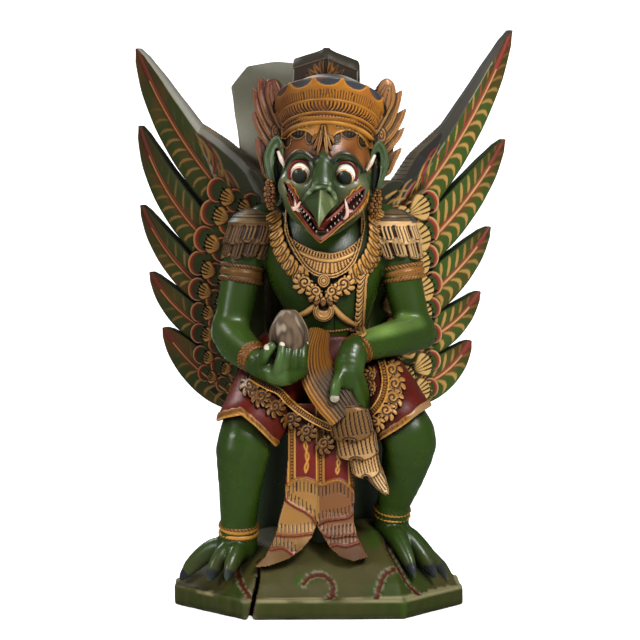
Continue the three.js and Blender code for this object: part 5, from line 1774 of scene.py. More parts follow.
def mouth():
    lips = Piece()
    teeth = Piece()
    for side in (LEFT, RIGHT):
        thick = [1.6, 1.8, 1.6, 1.4, 1.3, 1.0] if side == LEFT else [1.6, 2.2, 2.6, 2.4, 2.2, 1.0]
        # The lips are painted darker on the viewer's left: a painted shade.
        flesh = mix(PINK, BRICK, 0.75) * 0.8 if side == LEFT else mix(PINK, BRICK, 0.35)
        for line, size in ((LOWER_LIP[side], [1.5, 1.8, 1.8, 1.8, 1.9, 2.0, 2.0]), (UPPER_LIP[side], thick)):
            points, faces = tube(line, size, count=60)
            shade = 0.5 + 0.5 * noise(*(points / 5).T, seed=95)
            lips.add(from_head(points), faces, mix(flesh * 0.9, BRICK * 0.5, 0.3 + 0.6 * shade))
        wide = [1.2, 1.8, 1.6, 1.4, 1.2, 1.0, 0.8] if side == LEFT else [1.6, 3.0, 2.8, 1.8, 1.2, 1.0, 0.8]
        edge = [(x * 1.05, y + 1.5, z - 3.2) for x, y, z in LOWER_LIP[side]]
        points, faces = tube(edge, wide, count=60, sides=10)
        notch = saw(points[:, 2] / 2.6) < 0.16
        # The gold edge is duller on the viewer's left, as browned gold and as painted shade.
        shade = mix(GOLD, PALE_GOLD, 0.6 if side == RIGHT else 0.0)
        lips.add(from_head(points), faces, mix(shade, UMBER * 0.4, notch * (points[:, 2] > -60)))
        zigzag = smooth([(x - 1.0 * side, y + 2.0, z + 4.2) for x, y, z in UPPER_LIP[side][:4]], 40)
        zigzag[:, 2] += 1.4 * np.sin(np.linspace(0, 22, 41))
        head_tube(lips, zigzag, [0.9, 1.7, 1.5, 0.8], shade, count=80, sides=8)
        low, high = smooth(LOWER_LIP[side], 60), smooth(UPPER_LIP[side], 60)
        for k in range(11):
            root = low[10 + 4 * k] + (-side * 2.4, 3, 1.6)
            tooth(teeth, root, (-side * 0.8, -1, 1.8), (-side * 1.2, -1.2, 3.6))
            root = high[14 + 4 * k] + (-side * 0.4, 1, -1.6)
            tooth(teeth, root, (side * 0.4, -0.6, -1.7), (side * 0.8, -0.6, -3.6))
    for line, size in TUSKS:
        head_tube(teeth, line, size, mix(BONE, PINK, 0.7) * 0.9, count=18, sides=12)
    tongue_line = [(0, -30, -50), (-1, -62, -58), (-1, -78, -70)]
    head_tube(lips, tongue_line, [(22, 4), (13, 4), (4, 2)], BRICK * 0.5, thin=(0, 0, 1), count=20)
    lips.make("lips", "cloth")
    teeth.make("teeth", "glaze")


# Dress


def filled_front(clay, x, z):
    """The clay's front at places on a map, carried on where the map leaves the body."""
    depth = clay.front()(x, z)
    for _ in range(60):
        if not np.isnan(depth).any():
            break
        padded = np.pad(depth, 1, constant_values=np.nan)
        near = np.stack([padded[1:-1, 2:], padded[1:-1, :-2], padded[2:, 1:-1], padded[:-2, 1:-1]])
        with np.errstate(invalid="ignore"):
            known = (~np.isnan(near)).sum(axis=0)
            filled = np.where(known == 0, np.nan, np.nansum(near, axis=0) / np.maximum(1, known))
        depth = np.where(np.isnan(depth), filled, depth)
    return np.nan_to_num(depth, nan=0.0)


def tongue(carving, centre, aim, length, half, base, paint):
    """A rounded leaf with a domed back, three grooves and a dark edge, pointing along aim."""
    aim = unit(aim)
    x, y = carving.u - centre[0], carving.v - centre[1]
    along, across = x * aim[0] + y * aim[1], -x * aim[1] + y * aim[0]
    reach = (np.abs(along / length) ** 2.4 + np.abs(across / half) ** 2.4) ** (1 / 2.4)
    d = (reach - 1) * half
    carving.lay(d, height=base, paint=paint, on=True)
    carving.height += 2.4 * bulge(reach)
    side = np.array([-aim[1], aim[0]])
    for off in (-0.5, 0.0, 0.5):
        steps = ((-0.3, 0.6), (0.3, 1.1), (0.86, 0.8))
        line = [centre + aim * a * length + side * off * half * w for a, w in steps]
        carving.stroke(line, 0.7, rise=-1.3, paint=BRONZE * 0.6, soft=1.0)
    carving.outline(d + 0.2, 0.5, -2.0, UMBER * 0.7, soft=1.0)


def flower(carving, centre, radius, base, paint, aim, turn):
    """A curled flower: a domed spiral bud with a fan of slanting lobes on the side of its aim."""
    x, y = carving.u - centre[0], carving.v - centre[1]
    r = np.hypot(x, y)
    angle = (np.arctan2(y, x) - aim + math.pi) % (2 * math.pi) - math.pi
    taper = np.sqrt(np.clip(np.cos(angle * 0.62), 0, 1))
    wave = np.abs(np.cos(4.5 * (angle + turn * 0.5 * r / radius)))
    edge = radius * (0.54 + 0.56 * taper * wave**0.4)
    d = r - edge
    carving.lay(d, height=base, paint=paint, on=True)
    carving.height += (d < 0) * 4.0 * bulge(r / edge)
    gap = (wave < 0.36) & (r > 0.56 * radius) & (d < 0) & (taper > 0.3)
    carving.height -= 1.8 * gap
    carving.fill(gap, UMBER * 0.7)
    carving.outline(r - 0.52 * radius, 0.4, -1.4, BRONZE * 0.5, soft=1.0)
    spin = np.linspace(0, 2.2 * math.pi, 36)
    size = 0.1 * radius + 0.05 * radius * spin
    way = turn * spin + aim
    curl = np.stack([centre[0] + size * np.cos(way), centre[1] + size * np.sin(way)], 1)
    carving.stroke(curl, 0.07 * radius, rise=-1.8, paint=UMBER * 0.7, count=0, soft=1.0)
    carving.outline(d + 0.1, 0.45, -1.6, UMBER * 0.6, soft=1.0)


# The collar's lower rim and its edge round the neck.
COLLAR_RIM = [
    (-46, 530), (-48, 495), (-41, 476), (-31, 458), (-20, 443), (-8, 434), (6, 430), (22, 430), (38, 438),
    (51, 453), (60, 479), (65, 503), (64, 530),
]
COLLAR_NECK = [
    (58, 530), (58, 500), (58, 488), (49, 479), (35, 470), (16, 465), (-6, 469), (-27, 479), (-40, 488),
    (-43, 505), (-44, 530),
]
# The line that the collar's leaves hang from on each side, and the number of the last leaf.
COLLAR_LEAVES = {
    LEFT: ([(-62, 514), (-60, 494), (-55, 475), (-46, 457), (-35, 443), (-22, 431)], 9),
    RIGHT: ([(80, 520), (80, 498), (78, 478), (71, 460), (61, 446), (48, 434)], 10),
}
CHEST_MIDDLE = np.array([9.0, 500.0])


def collar_leaves(carving):
    for side in (LEFT, RIGHT):
        hanger, last = COLLAR_LEAVES[side]
        line = smooth(hanger, 40)
        for k in range(last, -1, -1):
            place = line[round(k * 40 / last)]
            aim = unit(unit(place - CHEST_MIDDLE) + (0, -0.75))
            paint = mix(TAN, PALE_GOLD, 0.5 + 0.5 * math.sin(3 * k))
            if side == RIGHT:
                tongue(carving, place + (9, -3), aim, 8, 6, 3.0, paint)
            tongue(carving, place, aim, 13, 8, 4.6, paint)


def collar_plate(carving):
    """The plate, with a notched band and ribs round the neck, fine stripes and a double rim."""
    u, v = carving.u, carving.v
    whole = inside(u, v, COLLAR_RIM + COLLAR_NECK)
    plate = whole < 0
    carving.lay(whole, height=6.0, paint=TAN, on=True)
    along, across = follow(carving, smooth(COLLAR_NECK[::-1], 80))
    inner = within(plate, np.abs(across))
    stripes = saw(along / 3.6) - 0.22
    striped = plate & (inner > 14) & (np.abs(u - 9) < 40 - 0.3 * np.abs(v - 450))
    carving.height += striped * (0.9 * ramp(stripes, -0.1, 0.1) - 0.5)
    carving.fill(striped & (stripes < 0), BRONZE * 0.8)
    band = plate & (np.abs(inner - 4.5) < 3.0)
    notch = band & (saw(along / 4.0) > 0.3)
    carving.height += band * 0.8 - notch * 1.6
    carving.fill(notch, BRONZE * 0.5)
    ridge(carving, inner - 10.5, 2.2, 1.8, TAN)
    ridge(carving, inner - 13.4, 0.6, -0.8, BRONZE * 0.6)
    ridge(carving, inner - 1.0, 1.3, 1.2, TAN)
    from_rim = np.abs(follow(carving, smooth(COLLAR_RIM, 80))[1])
    for offset in (2.0, 5.6):
        ridge(carving, within(plate, from_rim - offset), 1.3, 1.4, TAN)
        ridge(carving, within(plate, from_rim - offset - 1.8), 0.5, -0.8, UMBER * 0.6)


def collar_strap(carving):
    """A strap of small curls down to the waist, and a string of beads there."""
    strap = smooth([(80, 470), (72, 450), (62, 435), (59, 400), (57, 360)], 30)
    along, across = follow(carving, strap)
    free = (np.abs(across) < 7.5) & (carving.v < 436)
    carving.cover(free, 4.0, TAN)
    ridge(carving, within(free, across + 5.0), 1.6, 1.0, TAN)
    ridge(carving, within(free, across + 3.0), 0.5, -1.0, UMBER * 0.5)
    curls = saw((along + (across - 4) ** 2 * 0.22) / 6.4) - 0.15
    curled = free & (across > -2.4)
    carving.height += curled * (1.6 * ramp(curls, -0.1, 0.15) - 0.6)
    carving.fill(curled & (curls < 0), UMBER * 0.6)
    along, across = follow(carving, smooth([(-18, 357), (20, 356), (58, 361)], 20))
    carving.on |= np.abs(across) < 2.6
    beads(carving, along, across, 2.0, 4.2, half=2.6)


def pendant(carving):
    """A bowl-shaped drop under petals, four curled flowers and a bud."""
    u, v = carving.u, carving.v
    bowl = np.hypot((u - 6) / 15, (v - 384) / 14.5)
    carving.lay((bowl - 1) * 14, height=6.5, paint=TAN, on=True)
    carving.height += (bowl < 1) * 3.0 * bulge((bowl - 0.72) / 0.28)
    carving.lay((np.hypot((u - 6) / 7, (v - 391) / 6) - 1) * 6, height=3.0, paint=UMBER * 0.5)
    for size in (0.62, 0.84):
        carving.outline((bowl - size) * 14, 0.5, -1.2, UMBER * 0.6, soft=1.0)
    petals = (((-9, 402), (-0.9, -0.5)), ((19, 402), (0.9, -0.5)), ((-3, 399), (-0.5, -1)),
              ((14, 399), (0.5, -1)), ((5.5, 398), (0, -1)))
    for place, aim in petals:
        tongue(carving, np.array(place, float), aim, 8, 4.4, 8.0, TAN)
    flower(carving, (-20, 425), 17, 6.5, TAN, aim=-2.2, turn=1)
    flower(carving, (33, 423), 17, 6.5, TAN, aim=-0.9, turn=-1)
    flower(carving, (-5, 413), 14, 9.0, TAN, aim=-2.4, turn=1)
    flower(carving, (17, 413), 14, 9.0, TAN, aim=-0.7, turn=-1)
    bud = np.hypot((u - 6) / 9, (v - 427) / 10)
    carving.lay((bud - 1) * 9, height=8.5, paint=TAN, on=True)
    for size in (0.95, 0.66, 0.36):
        carving.outline((bud - size) * 9, 0.5, -1.6, UMBER * 0.6, soft=1.0)


def collar(clay):
    carving = Carving((-78, 92, 352, 536), step=0.85, paint=TAN)
    depth = filled_front(clay, carving.u, carving.v)
    collar_leaves(carving)
    collar_plate(carving)
    collar_strap(carving)
    pendant(carving)

    def surface(u, v, h):
        return np.stack([u, depth - h - 0.5, v], -1)

    piece = Piece()
    piece.add(*carving.sheet(surface, rim=7))
    front = clay.front()
    cords = ([(-2, 396), (-8, 390), (-17, 383), (-28, 377)], [(14, 398), (21, 388), (34, 375), (52, 363)])
    for cord in cords:
        x, z = np.array(cord, float).T
        points, faces = tube(np.stack([x, front(x, z) - 2, z], 1), [4.0, 4.6, 4.4, 3.8], count=40)
        piece.add(points, faces, TAN)
    piece.make("collar", "gold")


# Each band's middle, the way along its limb, its radius and its width.
BANDS = [
    ("arm", (-106, 6, 435), (-0.16, -0.05, -1), 31, 26),
    ("arm", (119, 6, 436), (0.16, -0.05, -1), 31, 24),
    ("wrist", (-90, -76, 322), (0.5, -0.8, -0.35), 21.5, 20),
    ("wrist", (50, -93, 334), (-0.72, -0.55, -0.42), 21.5, 20),
    ("foot", (-111, -66.5, 86), (-0.02, 0.25, -1), 26.5, 21),
    ("foot", (101, -51, 108), (-0.09, 0.35, -0.93), 24, 19),
]


def bands():
    """Armbands, bracelets and anklets: ropes beside smooth rings."""
    piece = Piece()
    for kind, centre, axis, radius, width in BANDS:
        line = np.array(centre) + unit(axis) * np.linspace(-width / 2, width / 2, 8)[:, None]
        surface, girth, length = around(line, np.full((8, 2), radius - 2.0), thin=(0.3, 1, 0.2))
        metal = mix(GOLD, BRONZE, 0.3)
        if kind == "arm":
            # The armband on the viewer's left is painted darker, as browned gold and as painted shade.
            metal = mix(GOLD, TAN, 0.2) * (0.4 if centre[0] < 0 else 1.0)
        step = 1.1 if kind == "arm" else 1.3
        carving = Carving((0, girth, 0, length), step, paint=metal * 0.8, on=True)
        u, v = carving.u, carving.v - length / 2
        pitch = girth / round(girth / 5.0)
        edge = length / 2 - 3.4
        for sign in (-1, 1):
            rope(carving, u, v - sign * edge, 3.2, 3.4, pitch, slant=sign * 0.9, paint=metal)
        if kind == "foot":
            for place in (-2.9, 2.9):
                ridge(carving, v - place, 2.6, 2.8, PALE_GOLD)
        else:
            ridge(carving, v, length / 2 - 8.2, 2.0, metal)
            beads(carving, u, v, 1.5, pitch * 0.6, rise=0.8, paint=metal, half=1.8)
        piece.add(*carving.sheet(surface, rim=4))
    piece.make("bands", "gold")


SHOULDERS = {LEFT: (-86, 4, 498), RIGHT: (100, 4, 498)}
SHOULDER_RADIUS = 38
# The radius and the height of a shoulder piece, from its top over its edge and down.
SHOULDER_PROFILE = np.array([
    (4, 27), (18, 25), (30, 19), (37, 10), (39.5, -2), (39.5, -22), (38, -38), (36, -52),
])
SHOULDER_TIERS = ((64, 90), (40, 68))  # where each tier starts and ends along the profile


def shoulder_tier(carving, girth, tier, paint):
    """A tier of combs in frames, with dark gaps between them."""
    v = carving.v
    group = girth / 11
    top, foot = SHOULDER_TIERS[tier]
    shift = carving.u + (0.5 * group if tier else 0)
    place, number = shift % group, (shift / group).astype(int)
    tassel = place - 0.44 * group
    inner, between = np.abs(tassel) < 0.36 * group, np.abs(tassel) > 0.4 * group
    end = foot + 3 * (number % 2) - 7.0 * between - 0.12 * tassel**2 * inner * 0.4
    cover = (v > top - 4) & (v < end)
    carving.cover(cover, 2.4 + 3.0 * tier, paint * (0.8 + 0.3 * tier))
    groove = inner & (saw(tassel / 5.2 + 0.5) > 0.3) & (v > top + 6) & (v < end - 4)
    carving.cut(groove | (cover & between & (v > top + 4)), 2.2, UMBER * 0.35)
    for place in (top + 3.0, end - 2.6):
        carving.cut(cover & (np.abs(v - place) < 0.6), 0.9, UMBER * 0.6)


def shoulder_cap(carving, side, paint):
    """The worn cap, with two grooves, a rim, and the grey stub of a lost flower on its outer side."""
    u, v = carving.u, carving.v
    cap = v < 42
    worn = mix(tint("4e3e28"), tint("6e5a40"), 0.5 + 0.5 * noise(u / 6, v / 5, 0, seed=86))
    carving.cover(cap, 5.4, worn)
    carving.height += cap * 0.6 * noise(u / 5, v / 5, 0, seed=87)
    for place in (27.0, 32.0):
        ridge(carving, v - place, 0.8, -1.4, UMBER * 0.35)
    ridge(carving, v - 40.2, 1.4, 1.0, paint)
    stub = cap & (np.abs(np.cos(u / SHOULDER_RADIUS) * side - 1) < 0.25)
    carving.blend(tint("3c3c3a"), 0.9 * stub)


def shoulder_pieces():
    """Worn caps on the shoulders, with two tiers of combs that hang over the arms."""
    piece = Piece()
    length = way_along(SHOULDER_PROFILE)
    girth = 2 * math.pi * SHOULDER_RADIUS
    for side in (LEFT, RIGHT):
        x, y, z = SHOULDERS[side]
        # The piece on the viewer's left is painted much darker, as browned gold and as painted shade.
        paint = tint("4c3318") if side == LEFT else tint("c09a6a")
        carving = Carving((0, girth, 0, length[-1]), step=1.4, paint=paint)
        for tier in (0, 1):
            shoulder_tier(carving, girth, tier, paint)
        shoulder_cap(carving, side, paint)

        def surface(u, v, h, side=side, x=x, y=y, z=z):
            turn = u / SHOULDER_RADIUS
            radius, rise = (np.interp(v, length, column) for column in SHOULDER_PROFILE.T)
            lean = ramp(v, 16, 36)
            radius = radius + (h - 4) * lean
            middle = x + side * 0.33 * np.clip(-rise, 0, None)
            return np.stack([middle + radius * np.cos(turn), y + 0.92 * radius * np.sin(turn),
                             z + rise + (h - 4) * (1 - lean)], -1)

        piece.add(*carving.sheet(surface, rim=5), turned_over=True)
    piece.make("shoulder_pieces", "gold")


# The belts' middle lines over the skirt's front, and the flowers that hang from them.
BELTS = {
    LEFT: [(-96, 300), (-75, 288), (-56, 279), (-44, 266), (-32, 255), (-11, 241), (12, 230)],
    RIGHT: [(80, 330), (86, 312), (88, 294), (85, 278), (77, 262), (60, 243), (36, 232)],
}
FLOWERS = {
    LEFT: [(-97, 285), (-81, 272), (-61, 258), (-40, 240), (-18, 223), (6, 206)],
    RIGHT: [(101, 306), (103, 288), (98, 270), (88, 253), (72, 236), (52, 222)],
}


def belts(clay):
    carving = Carving((-112, 122, 192, 336), step=0.95, paint=GOLD)
    u, v = carving.u, carving.v
    depth = filled_front(clay, u, v)
    cloth = np.where((u > -46) & (u < 48) & (v < 262), np.interp(v, [190, 262], [-103, -99]), 99)
    depth = np.fmin(depth, cloth)
    for _ in range(14):
        padded = np.pad(depth, 1, mode="edge")
        beside = padded[1:-1, 2:] + padded[1:-1, :-2] + padded[2:, 1:-1] + padded[:-2, 1:-1]
        depth = 0.5 * depth + 0.125 * beside
    for side in (LEFT, RIGHT):
        # The flowers on the viewer's left are painted darker, as browned gold and as painted shade.
        paint = mix(GOLD, BRONZE, 0.5) * 0.6 if side == LEFT else mix(GOLD, TAN, 0.5)
        for k, place in enumerate(FLOWERS[side]):
            out = math.radians(-110 + 12 * k if side == LEFT else -20 - 16 * k)
            place = np.array(place) + 3.0 * np.array([-math.cos(out), -math.sin(out)])
            flower(carving, place, 15.5, 4.5, paint, aim=out, turn=side)
    for place in ((70, 300), (69, 282)):
        flower(carving, place, 12, 4.0, mix(GOLD, TAN, 0.35) * 0.9, aim=2.8, turn=-1)
    for side in (LEFT, RIGHT):
        along, across = follow(carving, smooth(BELTS[side], 60))
        cover = (np.abs(across) < 5.6) & (along > 0.5)
        carving.cover(cover, 7.0, GOLD)
        local = within(cover, across)
        for place in (-4.2, 4.2):
            ridge(carving, local - place, 1.3, 1.2, PALE_GOLD)
        ridge(carving, np.abs(local) - 2.6, 0.5, -0.8, UMBER * 0.5)
        carving.cut((np.abs(local) < 2.1) & (saw(along / 3.4) > 0.3), 1.0, UMBER * 0.5)
    belt = carving.sheet(lambda u, v, h: np.stack([u, depth - h - 0.3, v], -1), rim=8)
    whole_piece("belts", "gold", *belt)


HEM_BOXES = {LEFT: ((-160, -145, 176), (-40, -20, 276)), RIGHT: ((46, -145, 176), (172, -20, 290))}


def hems():
    """Gold borders of the cloth over the knees, with a scalloped upper edge."""
    piece = Piece()
    for side in (LEFT, RIGHT):
        box = [np.array(corner) for corner in HEM_BOXES[side]]
        clay = Clay(*box, step=2.2)
        leg_cloth(clay, side, 1.7)

        def below(x, y, z, side=side):
            return over_hem(side, x, y, z) + 1.5

        def above(x, y, z, side=side):
            wave = 1.6 * np.abs(np.sin((x - 0.4 * y) / 5.0))
            return 9.0 + wave - over_hem(side, x, y, z)

        clay.add((below, *box), cut=True)
        clay.add((above, *box), cut=True)
        points, faces = clay.skin()
        x, y, z = points.T
        height = over_hem(side, x, y, z)
        comb = saw((x - 0.4 * y) / 3.6) - 0.2
        paint = mix(GOLD, BRONZE, 0.5 + 0.5 * noise(x / 8, y / 8, z / 8, seed=64))
        paint = mix(paint, PALE_GOLD, 1 - ramp(np.abs(height + 0.2), 0.8, 1.8))
        paint = mix(paint, UMBER * 0.6, 0.8 * ((comb < 0) & (height > 2.4) & (height < 7.5)))
        if side == RIGHT:
            paint = mix(paint, tint("8a6a48"), ramp(x, 116, 124))
        piece.add(points, faces, paint)
    piece.make("hems", "gold")


SASH_FALL = [(0, -50, 356), (-6, -74, 330), (-4, -98, 306), (9, -112, 284), (23, -118, 266), (36, -121, 248)]
SASH_HALF = 30  # half the width of the sash's map
# The top and foot of each fan below the sash, its two half widths and its colour, the uppermost first.
FANS = [
    ((35, 261), (42, 214), 27, 31, "644622"), ((44, 232), (51, 188), 30, 29, "865f32"),
    ((55, 208), (63, 164), 21, 20, "a87a44"), ((63, 184), (90, 140), 16, 13, "b89468"),
]


def sash_fall(piece):
    """The ribbed part that falls from the hand, rounded across."""
    fall = smooth(SASH_FALL, 60)
    widths = spread([15, 19, 24, 28, 29, 26], 60)[:, 0]
    _, wide, deep = frames(fall, (0, 1, 0))
    along = way_along(fall)
    carving = Carving((-SASH_HALF, SASH_HALF, 0, along[-1]), step=1.0, paint=GOLD, on=True)
    share = carving.u / SASH_HALF
    stripe = saw(share * 5.5 + 0.5) - 0.13
    carving.height += 1.4 * ramp(stripe, -0.05, 0.2) - 1.0
    brown = ramp(carving.v, 62, 92) * ramp(-share, -0.9, -0.2)
    carving.paint = mix(mix(GOLD, PALE_GOLD, 0.4 * ramp(share, -0.4, 0.4)), tint("43301c"), brown)
    carving.fill(stripe < 0, mix(mix(BRICK, UMBER, 0.6), BLACK, brown))

    def surface(u, v, h):
        middle, w, d = rows_at(v, along, (fall, wide, deep))
        share = u / SASH_HALF
        reach = np.interp(v, along, widths)
        lift = 9 * bulge(share) + h
        return middle - w * (share * reach)[..., None] - d * lift[..., None]

    piece.add(*carving.sheet(surface, rim=8), turned_over=True)


def fan(carving, k):
    """A pleated fan, whose foot is rounded and runs out into a point on the last one."""
    top, foot, narrow, broad, colour = FANS[k]
    top, foot = np.array(top, float), np.array(foot, float)
    run = foot - top
    length = np.linalg.norm(run)
    run /= length
    x, y = carving.u - top[0], carving.v - top[1]
    t = (x * run[0] + y * run[1]) / length
    across = -x * run[1] + y * run[0]
    half = narrow + (broad - narrow) * ramp(t, 0, 0.6)
    lanes = half + 1e-3
    if k == len(FANS) - 1:
        half = 16 * np.sqrt(np.clip(1.02 - t, 0, 1))
        lanes = 19
    else:
        half = half * np.sqrt(np.clip(1.02 - np.clip((t - 0.7) / 0.34, 0, 1) ** 3, 0, 1))
    half = half * np.sqrt(np.clip((t + 0.02) / 0.2, 0.01, 1))
    bow = t + 0.07 * np.cos(across / np.maximum(half, 1) * 4.2 + 0.8)
    d = np.maximum(np.abs(across) - half, np.maximum(-t, bow - 1.02) * length)
    carving.lay(d, height=3.2 * (3 - k) + 2.5 * t, on=True)
    carving.fill(d < 0, mix(tint(colour), tint("c8a878"), 0.3 * k * ramp(t, 0.3, 1)))
    carving.height += (d < 0) * 7 * bulge(across / np.maximum(half, 1))
    pleats = saw(across / lanes * 5 + 0.4 * np.sin(3 * t)) - 0.14
    carving.cut((d < -2.6) & (pleats < 0) & (t > 0.2) & (t < 0.86), 1.5, UMBER * 0.5)
    carving.outline(d + 2.4, 0.7, -1.6, UMBER * 0.5)
    carving.outline(d + 0.6, 0.9, 0.8, BRONZE * 0.8)


def sash():
    piece = Piece()
    sash_fall(piece)
    carving = Carving((-6, 98, 132, 268), step=0.9, paint=GOLD)
    for k in reversed(range(len(FANS))):
        fan(carving, k)

    def surface(u, v, h):
        return np.stack([u, -116 - 0.08 * (250 - v) + 0.012 * (u - 60 - 0.35 * (224 - v)) ** 2 - h, v], -1)

    piece.add(*carving.sheet(surface, rim=12))
    piece.make("sash", "gold")


# The outlines of the two cloths that hang between the legs.
CLOTHS = {
    LEFT: [
        (-44, 262), (-44, 190), (-48, 150), (-49, 132), (-56, 108), (-62, 84), (-76, 56), (-91, 41),
        (-70, 44), (-44, 54), (-26, 66), (-12, 82), (-6, 96), (6, 150), (6, 262),
    ],
    RIGHT: [
        (4, 262), (2, 150), (-5, 96), (2, 84), (12, 68), (26, 56), (44, 50), (64, 55), (56, 70), (50, 82),
        (45, 104), (46, 130), (48, 262),
    ],
}
CLOTH_BORDER = [
    (-50, 138), (-46, 150), (-34, 159), (-22, 160), (-8, 156), (2, 152), (12, 156), (24, 158), (36, 152),
    (47, 140),
]
# The upper edges of the flounces below the border.
FLOUNCES = {
    LEFT: [
        [(-50, 138), (-46, 130), (-34, 122), (-22, 116), (-12, 108), (-6, 98)],
        [(-64, 86), (-50, 84), (-34, 84), (-20, 86), (-10, 87)],
        [(-68, 66), (-52, 68), (-44, 64), (-34, 56)],
    ],
    RIGHT: [
        [(-4, 98), (8, 103), (22, 105), (38, 108), (46, 116)],
        [(-4, 92), (6, 84), (20, 82), (36, 84), (50, 84)],
        [(8, 68), (20, 72), (34, 70), (52, 74), (58, 70)],
    ],
}
# How far forward each cloth hangs at each height.
CLOTH_FALL = np.array([
    (40, -133, -129), (50, -129, -127), (74, -122, -120), (100, -112, -110), (134, -106, -105),
    (190, -99, -97), (262, -95, -94),
])


def cloth_stripes(carving):
    """Three beaded stripes, and wavy lines in the red between them."""
    u, v = carving.u, carving.v
    for x, half in ((-39, 3.6), (0, 3.6), (43, 3.2)):
        band = (v > 150) & (np.abs(u - x) < half + 2.2)
        carving.fill(band, GOLD)
        carving.height += band * 0.9
        local = within(v > 150, u - x)
        beads(carving, v, local, 1.6, 4.4, rise=0.8, half=2.3)
        ridge(carving, np.abs(local) - half - 1.2, 1.0, 1.0, PALE_GOLD)
    for x, low, high in ((-19, 168, 212), (24, 166, 196)):
        z = np.linspace(low, high, 30)
        for sign in (-1, 1):
            bows = np.abs(np.sin((z - low) / (high - low) * 3 * math.pi))
            wavy = np.stack([x + sign * 2.0 * bows + 1.2 * np.sin(z / 7), z], 1)
            carving.stroke(wavy, 1.1, rise=0.8, paint=PALE_GOLD, count=0)


def flounce(carving, side, line):
    u, v = carving.u, carving.v
    curve = smooth(line, 40)
    drop = np.interp(u, curve[:, 0], curve[:, 1], left=-99, right=-99) - v
    over = (u > curve[0, 0]) & (u < curve[-1, 0]) & (drop < 0) & (drop > -30)
    over = over & (u < -4 if side == LEFT else u >= -4)
    carving.height += over * 1.8 * np.exp(drop / 9)
    comb = saw(u / 5.2 + 0.2 * np.sin(v / 9)) - 0.12
    carving.cut(over & (comb < 0) & (drop < -4) & (drop > -15), 1.0, UMBER * 0.6)
    carving.stroke(curve, 2.2, rise=1.2, paint=BRICK * (0.7 if side == LEFT else 0.5), count=0)


def loincloth():
    carving = Carving((-92, 68, 34, 262), step=1.05, paint=RED)
    u, v = carving.u, carving.v
    for side in (RIGHT, LEFT):
        carving.lay(inside(u, v, CLOTHS[side]), height=0.0, on=True)
    cloth_stripes(carving)
    border = smooth(CLOTH_BORDER, 60)
    top = np.interp(u, border[:, 0], border[:, 1])
    low = v < top
    carving.fill(low & (u < -2), tint("86602f"))
    carving.fill(low & (u >= -2), tint("6a4426"))
    shade = ramp(v + 8 * noise(u / 9, v / 9, 0, seed=66), 96, 60)[..., None] * low[..., None]
    carving.paint = carving.paint * (1 - 0.55 * shade)
    carving.height += low * 1.6
    for side in (LEFT, RIGHT):
        for line in FLOUNCES[side]:
            flounce(carving, side, line)
    comb = low & (saw(u / 5.0) < 0.12) & (v < top - 4) & (v > top - 17)
    carving.cut(comb, 1.0, UMBER * 0.6)
    carving.stroke(border, 1.8, rise=1.6, paint=GOLD * 1.05, count=0)

    def surface(u, v, h):
        share = ramp(u, -8, 2)
        left, right = (np.interp(v, CLOTH_FALL[:, 0], CLOTH_FALL[:, k]) for k in (1, 2))
        bend = 0.0035 * (np.where(u < -4, u + 24, u - 22)) ** 2
        return np.stack([u, left * (1 - share) + right * share + bend - 4 - h, v], -1)

    whole_piece("loincloth", "gold", *carving.sheet(surface, rim=14))


# Tail


TAIL_TURN = turned(-4, -5, 0)
TAIL_PLACE = (-10, 98, 190.4)  # the middle of the tail board's foot
TAIL_HALF = 16.5  # half its thickness


def tail():
    """A plain board with worn corners at its top."""
    v = np.concatenate([np.linspace(0, 514, 140), np.linspace(516, 548, 24)])
    worn = noise(v / 9, 0 * v, 0, seed=80)
    left = np.interp(v, [0, 518, 545, 548], [-37, -66, -40, -6]) + worn
    right = np.interp(v, [0, 515, 542.5, 548], [37, 66, 36, 4]) + worn[::-1]
    share = np.linspace(0, 1, 44)
    x = left[:, None] + (right - left)[:, None] * share
    z = v[:, None] + 0 * x
    front = np.stack([x, -TAIL_HALF + 0 * x, z], -1)
    back = front[:, [-1, 0]] * (1, -1, 1)
    points, faces = lofted(np.concatenate([front, back], 1) @ TAIL_TURN.T + TAIL_PLACE)
    x, y, z = points.T
    paint = mix(tint("4e4c40"), tint("3c3b34"), 0.5 + 0.5 * noise(x / 14, y / 14, z / 70, seed=81))
    paint = mix(paint, tint("8c8a7c"), 0.8 * (1 - ramp(z, 600, 690)))
    patchy = ramp(noise(x / 22, y / 22, z / 12, seed=82), -0.3, 0.3)
    paint = mix(paint, tint("74746a"), 0.6 * ramp(z, 700, 740) * patchy)
    piece = Piece()
    piece.add(points, faces, paint)
    piece.make("tail_board", "tail", "tail")


# Scene


def area_light(name, place, aim, size, power):
    light = bpy.data.lights.new(name, "AREA")
    light.shape, light.size, light.energy = "DISK", size, power
    lamp = bpy.data.objects.new(name, light)
    bpy.context.scene.collection.objects.link(lamp)
    lamp.location = place
    lamp.rotation_euler = (Vector(aim) - Vector(place)).to_track_quat("-Z", "Y").to_euler()
    lamp.visible_camera = False


CAMERA_PLACE, CAMERA_AIM = (-0.1120, -3.2934, 0.5687), (0.003, 0.0, 0.396)
CAMERA_LENS, CAMERA_SENSOR = 132.75, 36.0
# Each light's name, place, aim, size in metres and power in watts.
LIGHTS = [
    ("key_light", (1.0, -2.1, 2.3), (0, 0, 0.4), 0.9, 108),
    ("fill_light", (-1.9, -1.8, 1.3), (0, 0, 0.4), 0.7, 30),
    ("rim_light", (-1.3, 1.2, 2.0), (0, 0, 0.5), 0.9, 26),
]


